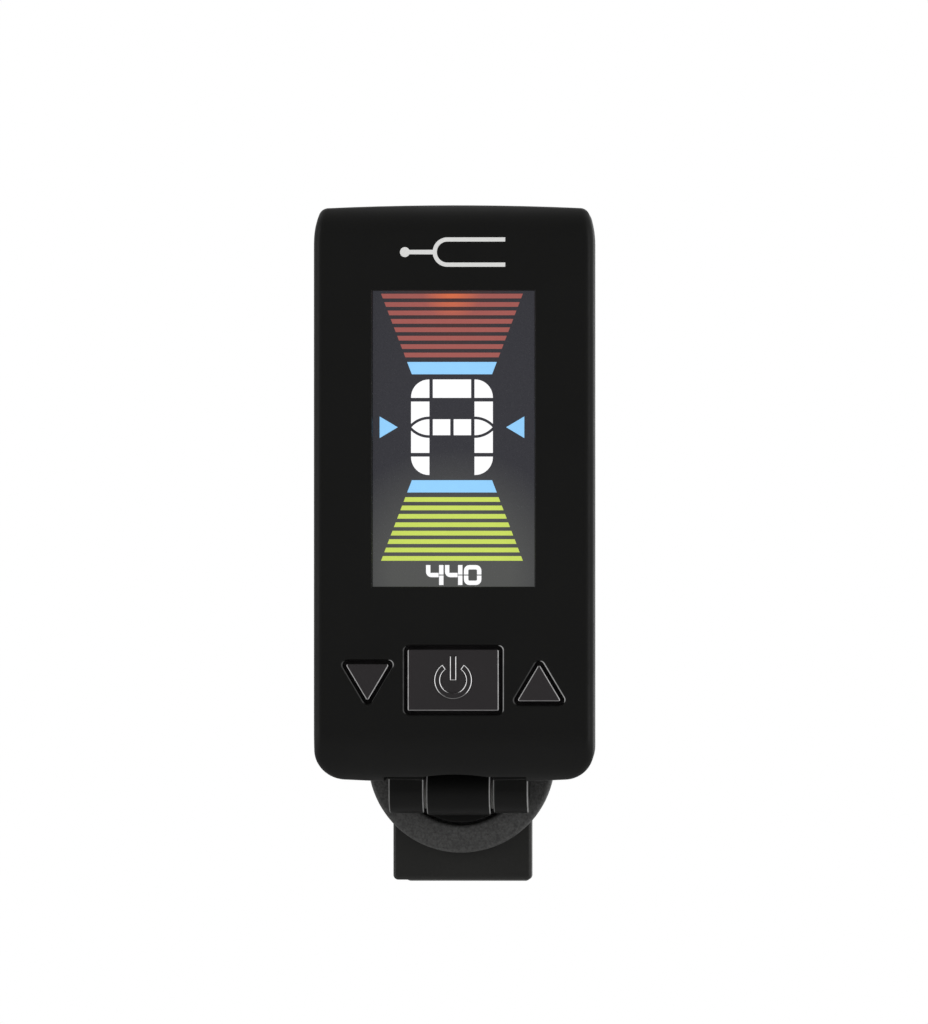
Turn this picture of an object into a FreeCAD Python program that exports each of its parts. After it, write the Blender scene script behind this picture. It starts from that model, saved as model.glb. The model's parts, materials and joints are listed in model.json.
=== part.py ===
"""A clip-on tuner: a display head on a tilt hinge and a swivel, carried by a sprung clip with rubber pads.

Row frame, millimetres: the origin is the centre of the front pad's gripping face, +X is to the right of the
display, +Y runs from the front pad into whatever the clip grips, and +Z is up. Four local frames keep the
numbers short:

    clip    the row frame itself
    head    origin on the display face, at the middle of the head's lower edge; +Y is depth behind the face
    swivel  origin on the swivel axis, at the front face of the swivel ring
    lever   origin on the clip's pin, with the rear jaw's plate upright; the frame leans by jaw_lean
"""

import FreeCAD, Part
import math
import os
import re
import Sketcher

Vector = FreeCAD.Vector

# Driving dimensions: alias, value in millimetres (or degrees for a lean, bend or taper), meaning.
DIMENSIONS = [
    # Head casing, in the head frame
    ("head_width", 28.12, "over the sides"),
    ("head_height", 58.0, "lower edge to the top of the crown"),
    ("head_depth", 12.0, "display face to back"),
    ("head_gap", 0.9, "head's back to the swivel ring"),
    ("parting", 7.5, "depth of the joint between the two shells"),
    ("lower_corner", 3.0, "radius of the lower corners, seen from the front"),
    ("upper_corner", 1.0, "radius of the upper corners"),
    ("shoulder", 10.0, "radius of the sides where they draw in below the upper corners"),
    ("shoulder_drop", 4.0, "top of the crown down to where the sides start to draw in"),
    ("lower_crown", 200.0, "radius of the bowed lower edge"),
    ("upper_crown", 260.0, "radius of the bowed upper edge"),
    ("lower_roll", 5.0, "radius of the roll between the face and the lower end"),
    ("upper_roll", 3.0, "radius of the roll between the face and the upper end"),
    ("roll_lift", 0.05, "rolls end this far outside the crowns, so that they cross them cleanly"),
    ("draft", 2.2, "lean of the sides towards the back, in degrees"),
    ("side_round", 0.9, "radius along the long front edges"),
    ("rear_round", 1.0, "radius round the back face"),
    ("side_wall", 1.6, "side wall"),
    ("front_wall", 1.4, "wall behind the display face"),
    ("rear_wall", 1.3, "wall of the back"),
    ("gap", 0.05, "clearance between pieces that are assembled together"),
    ("beyond", 2.0, "how far a cut runs past the surface that it opens"),
    ("seam", 0.12, "round where two casing pieces meet"),
    # Space inside the shells: a deep well, and a wider, shallower one behind it
    ("well_low", 5.6, "lower end of the deep well"),
    ("well_high", 54.6, "upper end of the deep well"),
    ("shelf_depth", 5.0, "depth where the wider well starts"),
    ("shelf_low", 2.4, "lower end of the wider well"),
    ("shelf_high", 56.2, "upper end of the wider well"),
    ("rear_well_low", 5.0, "lower end of the well in the rear shell"),
    # Display stack
    ("window_width", 16.3, "window in the front shell"),
    ("window_height", 29.6, "window in the front shell"),
    ("window_mid", 34.55, "height of the window's centre"),
    ("window_edge", 0.15, "round where the window meets the face"),
    ("lens_recess", 0.1, "lens surface behind the face"),
    ("lens_flange", 1.2, "flange of the lens beyond the window"),
    ("lens_back", 1.95, "depth of the back of the lens"),
    ("lcd_front", 2.0, "depth of the front of the glass panel"),
    ("lcd_step", 2.8, "depth of the joint between its two glasses"),
    ("lcd_back", 3.6, "depth of the back of the glass panel"),
    ("lcd_width", 20.0, "glass panel"),
    ("lcd_height", 33.0, "glass panel"),
    ("lcd_ledge", 2.0, "strip of the front glass left bare for the contacts"),
    ("connector_width", 18.0, "elastomer connector"),
    ("connector_height", 1.6, "elastomer connector"),
    ("connector_lift", 0.1, "lower end of the glass to the elastomer connector"),
    ("guide_width", 19.2, "light guide"),
    ("guide_low", 20.3, "lower end of the light guide"),
    ("guide_high", 49.6, "upper end of the light guide"),
    ("guide_back", 5.0, "depth of the back of the light guide"),
    ("frame_rim", 1.1, "width of the display frame's rim"),
    ("led_width", 2.0, "side-firing light"),
    ("led_height", 0.9, "side-firing light"),
    ("led_front", 3.9, "depth of the front of the side-firing lights"),
    ("led_pitch", 6.0, "side-firing lights"),
    # Main board and what it carries
    ("board_front", 5.2, "depth of the front of the board"),
    ("board_back", 6.2, "depth of the back of the board"),
    ("board_width", 23.8, "board"),
    ("board_low", 2.9, "lower end of the board"),
    ("board_high", 55.9, "upper end of the board"),
    ("board_tongue", 15.2, "width of the tongues between the screw bosses"),
    ("tongue_low", 6.8, "where the lower tongue starts"),
    ("tongue_high", 52.1, "where the upper tongue starts"),
    ("chip_size", 7.0, "controller chip"),
    ("chip_height", 0.9, "controller chip"),
    ("chip_mid", 24.0, "height of the chip's centre"),
    ("crystal_length", 5.0, "crystal"),
    ("crystal_width", 1.8, "crystal"),
    ("crystal_mid", 17.6, "height of the crystal's centre"),
    ("chip_edge", 0.15, "round on the chip's back"),
    ("small_part", 0.8, "width of the small surface-mounted parts"),
    ("small_length", 1.28, "small surface-mounted parts"),
    ("small_pitch", 2.2, "small surface-mounted parts"),
    # Buttons
    ("power_line", 10.4, "height of the power button's centre"),
    ("power_width", 9.1, "power button"),
    ("power_height", 6.1, "power button"),
    ("arrow_line", 10.15, "height of the middle of the arrow buttons"),
    ("arrow_offset", 8.6, "centre line to an arrow button"),
    ("arrow_half", 2.2, "half the width of an arrow button"),
    ("arrow_height", 3.7, "arrow button"),
    ("button_gap", 0.4, "gap round each button"),
    ("button_proud", 0.3, "buttons stand in front of the face"),
    ("button_edge", 0.15, "round on the front edges of the buttons"),
    ("button_corner", 0.15, "corner radius of the buttons, seen from the front"),
    ("well_corner", 0.5, "corner radius of the button openings"),
    ("well_edge", 0.25, "round on the front edges of the button openings"),
    ("flange_front", 1.5, "depth of the front of the button flanges"),
    ("flange_back", 2.1, "depth of the back of the button flanges"),
    ("power_flange_width", 10.6, "flange of the power button"),
    ("power_flange_height", 7.3, "flange of the power button"),
    ("arrow_flange_width", 6.3, "flange of an arrow button"),
    ("arrow_flange_low", 7.3, "flange of an arrow button"),
    ("arrow_flange_high", 13.0, "flange of an arrow button"),
    ("stem", 1.0, "radius of the stem behind each button"),
    ("stem_back", 2.4, "depth of the end of the stem"),
    ("symbol_height", 0.15, "power symbol stands in front of its button"),
    ("symbol_edge", 0.1, "round on the power symbol's edges"),
    ("symbol_outer", 1.87, "outer radius of the power symbol"),
    ("symbol_inner", 1.32, "inner radius of the power symbol"),
    ("symbol_bar", 0.6, "width of the power symbol's bar"),
    ("symbol_top", 2.4, "centre of the power symbol to the end of its bar"),
    ("symbol_gap", 35.0, "half the opening of the power symbol's ring, in degrees"),
    ("switch_size", 4.4, "tact switch body"),
    ("switch_front", 3.2, "depth of the front of the tact switches"),
    ("plunger", 0.9, "radius of a switch plunger"),
    ("plunger_back", 3.9, "depth of the inner end of a switch plunger"),
    ("plunger_bore", 0.97, "radius of the bore in a switch"),
    ("plunger_bore_end", 4.5, "depth of the bottom of that bore"),
    # Case screws and their bosses
    ("screw_low_x", 9.8, "lower screws"),
    ("screw_low_z", 4.9, "lower screws"),
    ("screw_high_x", 9.6, "upper screws"),
    ("screw_high_z", 54.0, "upper screws"),
    ("boss", 1.7, "radius of the front shell's bosses"),
    ("boss_back", 7.4, "depth of the end of the front shell's bosses"),
    ("rear_boss", 2.0, "radius of the rear shell's bosses"),
    ("screw_core", 0.7, "radius of a case screw's shank"),
    ("screw_bore", 0.9, "radius of the clearance hole"),
    ("screw_head", 1.4, "radius of a case screw's head"),
    ("screw_sink", 1.6, "radius of the counterbore"),
    ("screw_head_height", 0.8, "case screw's head"),
    ("screw_low_seat", 11.0, "depth of the seat of the lower heads"),
    ("screw_high_seat", 9.9, "depth of the seat of the upper heads"),
    ("screw_tip", 3.2, "depth of the screw tips"),
    ("screw_bore_end", 2.8, "depth of the bottom of the pilot holes"),
    ("screw_slot", 0.4, "depth of the cross recess in a screw head"),
    ("screw_slot_width", 0.35, "width of the cross recess"),
    # Battery bay and door
    ("cell_radius", 10.0, "2032 coin cell"),
    ("cell_height", 3.2, "2032 coin cell"),
    ("cell_front", 7.25, "depth of the front of the cell"),
    ("cell_cap", 8.6, "radius of the cell's negative cap"),
    ("cell_cap_height", 0.5, "negative cap in front of the can's crimp"),
    ("cell_edge", 0.3, "round on the rim of the can"),
    ("cell_crimp", 0.4, "round where the can is crimped over the cap"),
    ("cell_mid", 43.4, "height of the cell's centre"),
    ("bay_radius", 10.3, "hole in the floor that holds the cell"),
    ("floor_front", 9.4, "depth of the front of the floor under the door"),
    ("bay_low", 29.8, "lower end of the floor"),
    ("door_width", 21.6, "battery door"),
    ("door_low", 30.1, "lower end of the battery door"),
    ("rail", 0.7, "how far the door's side rails stand out"),
    ("rail_thick", 0.4, "thickness of the rails"),
    ("rail_low", 30.5, "lower end of the rails"),
    ("rail_high", 56.2, "upper end of the rails"),
    ("grip_low", 33.2, "lowest of the thumb grooves in the door"),
    ("grip_pitch", 1.3, "thumb grooves"),
    ("grip_width", 9.0, "thumb grooves"),
    ("grip_height", 0.6, "thumb grooves"),
    ("grip_depth", 0.4, "thumb grooves"),
    ("leaf_width", 5.0, "width of the battery contacts"),
    ("leaf", 0.2, "thickness of the battery contacts"),
    ("leaf_reach", 7.15, "depth that the negative leaf springs up to"),
    # Vibration sensor
    ("sensor_mid", 14.6, "height of the piezo disc's centre"),
    ("sensor_radius", 6.0, "brass plate of the piezo disc"),
    ("sensor_front", 10.2, "depth of the front of the brass plate"),
    ("ceramic_radius", 4.2, "ceramic of the piezo disc"),
    ("ceramic_front", 9.95, "depth of the front of the ceramic"),
    ("lead", 0.25, "radius of the piezo leads"),
    ("lead_drop", 2.5, "piezo disc's centre down to where the leads meet the board"),
    # Tilt hinge, in the head frame
    ("tilt_depth", 10.5, "depth of the tilt axis"),
    ("tilt_drop", 0.8, "tilt axis below the head's lower edge"),
    ("knuckle", 2.2, "radius of the head's knuckles"),
    ("knuckle_in", 3.5, "inner face of the head's knuckles"),
    ("knuckle_out", 7.0, "outer face of the head's knuckles"),
    ("knuckle_edge", 0.18, "round on the knuckle ends"),
    ("middle_knuckle", 2.4, "radius of the swivel plate's knuckle"),
    ("middle_half", 3.2, "half the width of the swivel plate's knuckle"),
    ("web_low", 2.3, "web of that knuckle below the tilt axis"),
    ("web_high", 1.9, "web of that knuckle above the tilt axis"),
    ("hinge_clear", 0.15, "clearance round the knuckles"),
    ("channel_half", 7.15, "half the width of the channel in the head's lower end"),
    ("channel_height", 0.7, "height of the channel"),
    ("channel_arch", 20.0, "radius of the arch over the middle knuckle"),
    ("channel_rise", 0.25, "rise of the arch above the channel"),
    ("tilt_pin", 0.8, "radius of the tilt pin"),
    ("tilt_bore", 0.83, "radius of its bores"),
    ("tilt_pin_end", 6.8, "half the length of the tilt pin"),
    ("tilt_washer", 1.75, "radius of the friction washers"),
    ("tilt_washer_bore", 0.86, "bore radius of the friction washers"),
    ("tilt_washer_gap", 0.03, "clearance on each side of the friction washers"),
    # Swivel
    ("swivel_height", 4.0, "swivel axis above the pad's centre"),
    ("tilt_below_swivel", 3.15, "tilt axis below the swivel axis"),
    ("ring_radius", 9.35, "outside of the swivel ring"),
    ("ring_depth", 2.6, "thickness of the swivel ring"),
    ("ring_bore", 6.6, "radius of the recess in the swivel ring"),
    ("ring_floor", 0.7, "floor behind the recess"),
    ("ring_edge", 0.35, "round on the ring's front edge"),
    ("plate_radius", 6.3, "swivel plate"),
    ("plate_recess", 0.3, "swivel plate behind the ring's face"),
    ("hub", 1.55, "radius of the swivel plate's hub"),
    ("hub_end", 3.4, "end of the hub behind the ring's face"),
    ("hub_bore", 1.6, "radius of the bore that the hub turns in"),
    ("swivel_screw", 0.95, "radius of the swivel screw's shank"),
    ("swivel_thread", 1.0, "radius of the hole in the hub"),
    ("swivel_screw_tip", 0.8, "tip of the swivel screw behind the ring's face"),
    ("swivel_head", 2.2, "radius of the swivel screw's head"),
    ("swivel_head_height", 0.75, "swivel screw's head"),
    ("swivel_sink", 2.6, "radius of the counterbore in the front jaw"),
    ("sink_depth", 1.3, "depth of that counterbore"),
    ("wave_washer", 2.35, "radius of the wave washer"),
    ("wave_washer_bore", 1.1, "bore radius of the wave washer"),
    ("wave_washer_thick", 0.3, "wave washer"),
    # Clip, in the clip frame
    ("clip_width", 13.9, "front jaw"),
    ("lever_width", 12.6, "rear jaw"),
    ("jaw_thick", 2.2, "both jaws"),
    ("jaw_tip", 8.1, "pad centre down to the front jaw's tip"),
    ("jaw_top", 36.5, "pad centre up to the end of the front handle"),
    ("jaw_corner", 0.5, "corner radius of the jaw tips"),
    ("handle_corner", 2.5, "corner radius of the handles"),
    ("jaw_edge", 0.35, "round on the jaws' outer edges"),
    ("pad_thick", 1.6, "front pad"),
    ("pad_width", 12.6, "front pad"),
    ("lever_pad_width", 11.6, "rear pad"),
    ("pad_half", 7.5, "half the height of the front pad"),
    ("pad_corner", 0.8, "corner radius of the pads"),
    ("pin_depth", 5.8, "clip pin behind the front pad's face"),
    ("pin_height", 20.5, "clip pin above the pad's centre"),
    ("clip_pin", 1.0, "radius of the clip pin"),
    ("pressed_bore", 1.02, "radius of the pin's bore in the front jaw"),
    ("turning_bore", 1.05, "radius of the pin's bore in the rear jaw"),
    ("clip_pin_end", 7.1, "half the length of the clip pin"),
    ("ear_in", 5.1, "inner face of the front jaw's ears"),
    ("ear", 2.4, "radius of the front jaw's ears"),
    ("ear_reach", 6.5, "half the height of the ears where they leave the front jaw"),
    ("heel", 4.0, "length of the heel that stops the rear jaw"),
    ("lever_ear_in", 3.6, "inner face of the rear jaw's ears"),
    ("lever_ear_out", 5.0, "outer face of the rear jaw's ears"),
    ("lever_ear", 2.2, "radius of the rear jaw's ears"),
    ("lever_ear_reach", 5.0, "half the height of the ears where they leave the rear jaw"),
    ("lever_offset", 3.2, "rear jaw's plate behind the pin"),
    ("lever_drop", 28.4, "rear jaw's tip below the pin"),
    ("jaw_lean", 8.0, "lean of the rear jaw when the clip is shut"),
    ("handle_bend", 12.0, "bend between the rear jaw and its handle"),
    ("handle_start", 3.0, "where the rear handle bends away, above the pin"),
    ("handle_length", 16.5, "rear handle above its bend"),
    ("rib", 0.45, "radius of the finger ribs on the handles"),
    ("rib_pitch", 2.0, "finger ribs"),
    ("rib_width", 10.6, "finger ribs"),
    ("rib_start", 2.2, "handle's end to the first rib"),
    ("lever_pad_low", 2.85, "rear pad's thickness at the tip"),
    ("lever_pad_height", 13.0, "rear pad"),
    ("lever_pad_lift", 0.4, "rear pad above the rear jaw's tip"),
    ("lever_pad_taper", 8.0, "taper of the rear pad"),
    # Torsion spring
    ("spring_radius", 2.0, "mean radius of the coil"),
    ("wire", 0.4, "radius of the wire"),
    ("spring_half", 1.9, "half the length of the coil"),
    ("spring_turns", 4.0, "full turns of the coil"),
    ("leg", 12.0, "length of a leg"),
    ("front_leg_lean", 25.3, "lean of the leg on the front handle"),
    ("rear_leg_lean", 20.3, "lean of the leg on the rear handle"),
]

# Where each local frame sits in the row frame.
RING_FRONT = "-(pad_thick + jaw_thick + ring_depth)"
FRAMES = {
    "clip": ("0", "0", "0"),
    "head": ("0", RING_FRONT + " - head_gap - head_depth", "swivel_height - tilt_below_swivel + tilt_drop"),
    "swivel": ("0", RING_FRONT, "swivel_height"),
    "lever": ("0", "pin_depth", "pin_height"),
}
# A sketch plane for each axis, and the side that the plane's normal points to.
PLANES = {"x": ("YZ_Plane", 1), "y": ("XZ_Plane", -1), "z": ("XY_Plane", 1)}
WINDOW_LOW = "window_mid - window_height/2"
SMALL = 1e-4
DOOR_GROOVES = 5
FINGER_RIBS = 5
SMALL_PART_COLUMNS = (-4, -3, 3, 4)
SMALL_PART_ROWS = (-1, 0, 1)
ALIASES = {name for name, _, _ in DIMENSIONS}

doc = FreeCAD.newDocument("clip_on_tuner")
sheet = doc.addObject("Spreadsheet::Sheet", "dims")
for row, (name, value, meaning) in enumerate(DIMENSIONS, start=1):
    sheet.set("A%d" % row, name)
    sheet.set("B%d" % row, str(value))
    sheet.set("C%d" % row, meaning)
    sheet.setAlias("B%d" % row, name)
doc.recompute()


# ---- Expressions -------------------------------------------------------------------------------------------

def bind(text):
    """An expression on the sheet's cells, from one written with bare aliases."""
    return re.sub(r"[a-z_]+", lambda word: "dims." + word[0] if word[0] in ALIASES else word[0], str(text))


def number(text):
    return float(sheet.evalExpression(bind(text)))


# ---- Sketch shapes: each returns a function that draws itself in a sketch -----------------------------------

def pin_point(sketch, geometry, point, across, up):
    """Hold one point of the sketch at a place given by two expressions."""
    for kind, text in (("DistanceX", across), ("DistanceY", up)):
        held = Sketcher.Constraint(kind, -1, 1, geometry, point, number(text))
        sketch.setExpression("Constraints[%d]" % sketch.addConstraint(held), bind(text))


def hold_radius(sketch, geometry, text):
    held = Sketcher.Constraint("Radius", geometry, number(text))
    sketch.setExpression("Constraints[%d]" % sketch.addConstraint(held), bind(text))


def polygon(*corners):
    """A closed outline through corners, each a pair of expressions."""
    def draw(sketch):
        points = [Vector(number(across), number(up), 0) for across, up in corners]
        lines = [Part.LineSegment(a, b) for a, b in zip(points, points[1:] + points[:1])]
        first = sketch.addGeometry(lines, False)[0]
        for k, (across, up) in enumerate(corners):
            before = first + (k - 1) % len(lines)
            sketch.addConstraint(Sketcher.Constraint("Coincident", before, 2, first + k, 1))
            pin_point(sketch, first + k, 1, across, up)
    return draw


def rectangle(left, right, low, high):
    return polygon((left, low), (right, low), (right, high), (left, high))


def centred(width, height, across="0", up="0"):
    sides = ["%s %s (%s)/2" % (across, sign, width) for sign in "-+"]
    ends = ["%s %s (%s)/2" % (up, sign, height) for sign in "-+"]
    return rectangle(sides[0], sides[1], ends[0], ends[1])


def circle(radius, across="0", up="0"):
    def draw(sketch):
        centre = Vector(number(across), number(up), 0)
        drawn = sketch.addGeometry(Part.Circle(centre, Vector(0, 0, 1), number(radius)), False)
        pin_point(sketch, drawn, 3, across, up)
        hold_radius(sketch, drawn, radius)
    return draw


def arc_curve(centre_x, centre_z, radius, start, end):
    """An arc from start to end, in degrees, anticlockwise."""
    whole = Part.Circle(Vector(number(centre_x), number(centre_z), 0), Vector(0, 0, 1), number(radius))
    return Part.ArcOfCircle(whole, math.radians(start), math.radians(end))


def head_outline(sketch):
    """The head seen from the front: bowed ends, straight sides and shoulders. Its corners are still sharp."""
    half = number("head_width/2")
    bend = number("head_height - shoulder_drop")
    swing_low = math.degrees(math.asin(half / number("lower_crown")))
    swing_high = math.degrees(math.asin(half / number("upper_crown")))
    swing_side = math.degrees(math.asin(number("shoulder_drop/shoulder")))
    arcs = {
        0: ("0", "lower_crown", "lower_crown", 270 - swing_low, 270 + swing_low),
        2: ("head_width/2 - shoulder", "head_height - shoulder_drop", "shoulder", 0, swing_side),
        3: ("0", "head_height - upper_crown", "upper_crown", 90 - swing_high, 90 + swing_high),
        4: ("shoulder - head_width/2", "head_height - shoulder_drop", "shoulder", 180 - swing_side, 180),
    }
    curves = [
        arc_curve(*arcs[0]),
        Part.LineSegment(Vector(half, 0, 0), Vector(half, bend, 0)),
        arc_curve(*arcs[2]),
        arc_curve(*arcs[3]),
        arc_curve(*arcs[4]),
        Part.LineSegment(Vector(-half, bend, 0), Vector(-half, 0, 0)),
    ]
    sketch.addGeometry(curves, False)
    for k in range(len(curves)):
        sketch.addConstraint(Sketcher.Constraint("Coincident", k, 2, (k + 1) % len(curves), 1))
    for k, (centre_x, centre_z, radius, _, _) in arcs.items():
        pin_point(sketch, k, 3, centre_x, centre_z)
        hold_radius(sketch, k, radius)
    for side, top_end in ((1, 2), (5, 1)):
        sketch.addConstraint(Sketcher.Constraint("Vertical", side))
        held = Sketcher.Constraint("DistanceY", -1, 1, side, top_end, bend)
        sketch.setExpression("Constraints[%d]" % sketch.addConstraint(held),
                             bind("head_height - shoulder_drop"))


def roll(radius, edge, sign):
    """What a roll removes, from the side: the corner between the face and an end at height edge."""
    def draw(sketch):
        outside = "%s - %d*beyond" % (edge, sign)
        inside = "%s + %d*%s" % (edge, sign, radius)
        corners = [("0", inside), ("-beyond", inside), ("-beyond", outside), (radius, outside), (radius, edge)]
        points = [Vector(number(across), number(up), 0) for across, up in corners]
        curves = [Part.LineSegment(a, b) for a, b in zip(points, points[1:])]
        quarter = (180, 270) if sign > 0 else (90, 180)
        curves.append(arc_curve(radius, inside, radius, *quarter))
        first = sketch.addGeometry(curves, False)[0]
        arc = first + 4
        arc_ends = (2, 1) if sign > 0 else (1, 2)
        for k in range(3):
            sketch.addConstraint(Sketcher.Constraint("Coincident", first + k, 2, first + k + 1, 1))
        for k in range(4):
            pin_point(sketch, first + k, 1, *corners[k])
        pin_point(sketch, first + 3, 2, *corners[4])
        sketch.addConstraint(Sketcher.Constraint("Coincident", first + 3, 2, arc, arc_ends[0]))
        sketch.addConstraint(Sketcher.Constraint("Coincident", first, 1, arc, arc_ends[1]))
        hold_radius(sketch, arc, radius)
    return draw


# ---- Edge choices for fillets ----------------------------------------------------------------------------

def spans(edge, axis):
    box = edge.BoundBox
    return {"x": (box.XMin, box.XMax), "y": (box.YMin, box.YMax), "z": (box.ZMin, box.ZMax)}[axis]


def flat(axis, place):
    """Edges that lie in the plane at this place along the axis."""
    level = number(place)
    return lambda edge: all(abs(end - level) < 1e-3 for end in spans(edge, axis))


def along(axis):
    """Straight edges that run along the axis."""
    others = [other for other in "xyz" if other != axis]
    return lambda edge: all(spans(edge, other)[1] - spans(edge, other)[0] < 1e-3 for other in others)


def mostly(axis):
    """Edges that run along the axis, with at most a slight lean."""
    others = [other for other in "xyz" if other != axis]

    def test(edge):
        low, high = spans(edge, axis)
        return all(spans(edge, other)[1] - spans(edge, other)[0] < (high - low) / 10 for other in others)
    return test


def between(axis, low, high):
    """Edges that stay between two places along the axis."""
    bottom = number(low)
    top = number(high)
    return lambda edge: bottom - 1e-3 < spans(edge, axis)[0] and spans(edge, axis)[1] < top + 1e-3


def arc_of(radius):
    """Round edges of this radius."""
    size = number(radius)
    return lambda edge: edge.Curve.TypeId == "Part::GeomCircle" and abs(edge.Curve.Radius - size) < 1e-3


# ---- Sub-parts -------------------------------------------------------------------------------------------

class Piece:
    """One sub-part: a PartDesign body in a local frame, built from sketches that are bound to the sheet."""

    def __init__(self, label, frame):
        self.label = label
        self.body = doc.addObject("PartDesign::Body", label)
        self.body.Label = label
        self.body.AllowCompound = True
        for axis, text in zip("xyz", FRAMES[frame]):
            self.body.setExpression("Placement.Base." + axis, bind(text))
        if frame == "lever":
            self.body.Placement.Rotation = FreeCAD.Rotation(Vector(1, 0, 0), -number("jaw_lean"))
            self.body.setExpression("Placement.Rotation.Angle", bind("-jaw_lean"))
        self.planes = {plane.Role: plane for plane in self.body.Origin.OriginFeatures}

    def extrude(self, kind, axis, low, high, shapes):
        """Add or remove the shapes, drawn square to the axis, from low to high along it."""
        role, side = PLANES[axis]
        sketch = self.body.newObject("Sketcher::SketchObject", self.label + "_sketch")
        sketch.AttachmentSupport = [(self.planes[role], "")]
        sketch.MapMode = "FlatFace"
        sketch.setExpression("AttachmentOffset.Base.z", bind("%d*(%s)" % (side, low)))
        for draw in shapes:
            draw(sketch)
        feature = self.body.newObject("PartDesign::" + kind, self.label + "_" + kind.lower())
        feature.Profile = sketch
        feature.Reversed = side < 0 if kind == "Pad" else side > 0
        feature.setExpression("Length", bind("(%s) - (%s)" % (high, low)))
        doc.recompute()

    def pad(self, axis, low, high, *shapes):
        self.extrude("Pad", axis, low, high, shapes)
        return self

    def cut(self, axis, low, high, *shapes):
        before = self.body.Shape.Volume
        self.extrude("Pocket", axis, low, high, shapes)
        if self.body.Shape.Volume > before - SMALL:
            raise RuntimeError("%s: a pocket removed nothing" % self.label)
        return self

    def round(self, radius, *tests):
        """Fillet the edges that pass every test."""
        base = self.body.Tip
        chosen = ["Edge%d" % k for k, edge in enumerate(base.Shape.Edges, start=1)
                  if all(test(edge) for test in tests)]
        if not chosen:
            raise RuntimeError("%s: no edge to round" % self.label)
        fillet = self.body.newObject("PartDesign::Fillet", self.label + "_fillet")
        fillet.Base = (base, chosen)
        fillet.setExpression("Radius", bind(radius))
        doc.recompute()
        return self


def two(radius, across, up):
    """Equal circles on both sides of the middle."""
    return [circle(radius, "-(%s)" % across, up), circle(radius, across, up)]


def both_sides(piece, action, inner, outer, *shapes):
    """Repeat a pad or cut along X on the left and on the right."""
    for low, high in (("-(%s)" % outer, "-(%s)" % inner), (inner, outer)):
        getattr(piece, action)("x", low, high, *shapes)


def arrow(side, margin="0"):
    """An arrow button's outline with a margin all round: up on the right (1), down on the left (-1)."""
    slant = "sqrt(arrow_half^2 + arrow_height^2)"
    half = "(arrow_half + %s*(arrow_half + %s)/arrow_height)" % (margin, slant)
    tip = "arrow_line + %d*(arrow_height/2 + %s*%s/arrow_half)" % (side, margin, slant)
    base = "arrow_line - %d*(arrow_height/2 + %s)" % (side, margin)
    middle = "%d*arrow_offset" % side
    return polygon(("%s - %s" % (middle, half), base), ("%s + %s" % (middle, half), base), (middle, tip))


def power_outline(margin="0"):
    return centred("power_width + 2*%s" % margin, "power_height + 2*%s" % margin, "0", "power_line")


def well(low="well_low", high="well_high"):
    """The space between the side walls."""
    return rectangle("side_wall - head_width/2", "head_width/2 - side_wall", low, high)


# The head's casing

def head_casing(label, low, high):
    """A slice of the head's rounded outline, which draws in towards the back."""
    piece = Piece(label, "head").pad("y", "0", high, head_outline)
    piece.body.Tip.setExpression("TaperAngle", bind("-draft"))
    doc.recompute()
    if number(low) > 0:
        piece.cut("y", "-beyond", low,
                  rectangle("-head_width", "head_width", "-beyond", "head_height + beyond"))
    piece.round("lower_corner", mostly("y"), between("z", "0", "head_height/2"))
    piece.round("upper_corner", mostly("y"), between("z", "head_height/2", "head_height"))
    return piece


def front_shell():
    piece = head_casing("front_shell", "0", "parting")
    piece.cut("x", "-head_width", "head_width", roll("lower_roll", "-roll_lift", 1))
    piece.cut("x", "-head_width", "head_width", roll("upper_roll", "head_height + roll_lift", -1))
    piece.round("side_round", flat("y", "0"), along("z"))
    piece.round("seam", flat("y", "parting"))
    piece.cut("y", "front_wall", "shelf_depth", well())
    piece.cut("y", "shelf_depth", "parting + beyond", well("shelf_low", "shelf_high"))
    piece.cut("y", "-beyond", "front_wall", centred("window_width", "window_height", "0", "window_mid"))
    piece.round("window_edge", flat("y", "0"), between("z", WINDOW_LOW, "well_high"),
                between("x", "-window_width/2", "window_width/2"))
    for outline in (power_outline("button_gap"), arrow(-1, "button_gap"), arrow(1, "button_gap")):
        piece.cut("y", "-beyond", "front_wall", outline)
    button_field = between("z", "well_low", WINDOW_LOW + " - window_edge")
    piece.round("well_corner", along("y"), between("y", "0", "front_wall"), button_field)
    piece.round("well_edge", flat("y", "0"), button_field,
                between("x", "side_wall - head_width/2", "head_width/2 - side_wall"))
    for up, across in (("screw_low_z", "screw_low_x"), ("screw_high_z", "screw_high_x")):
        piece.pad("y", "front_wall - gap", "boss_back", *two("boss", across, up))
        piece.cut("y", "screw_bore_end", "parting", *two("screw_core + gap", across, up))
    piece.cut("y", "-beyond", "parting + beyond",
              rectangle("-channel_half", "channel_half", "-beyond", "channel_height"))
    piece.cut("y", "-beyond", "parting + beyond",
              circle("channel_arch", "0", "channel_height + channel_rise - channel_arch"))
    return piece


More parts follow.
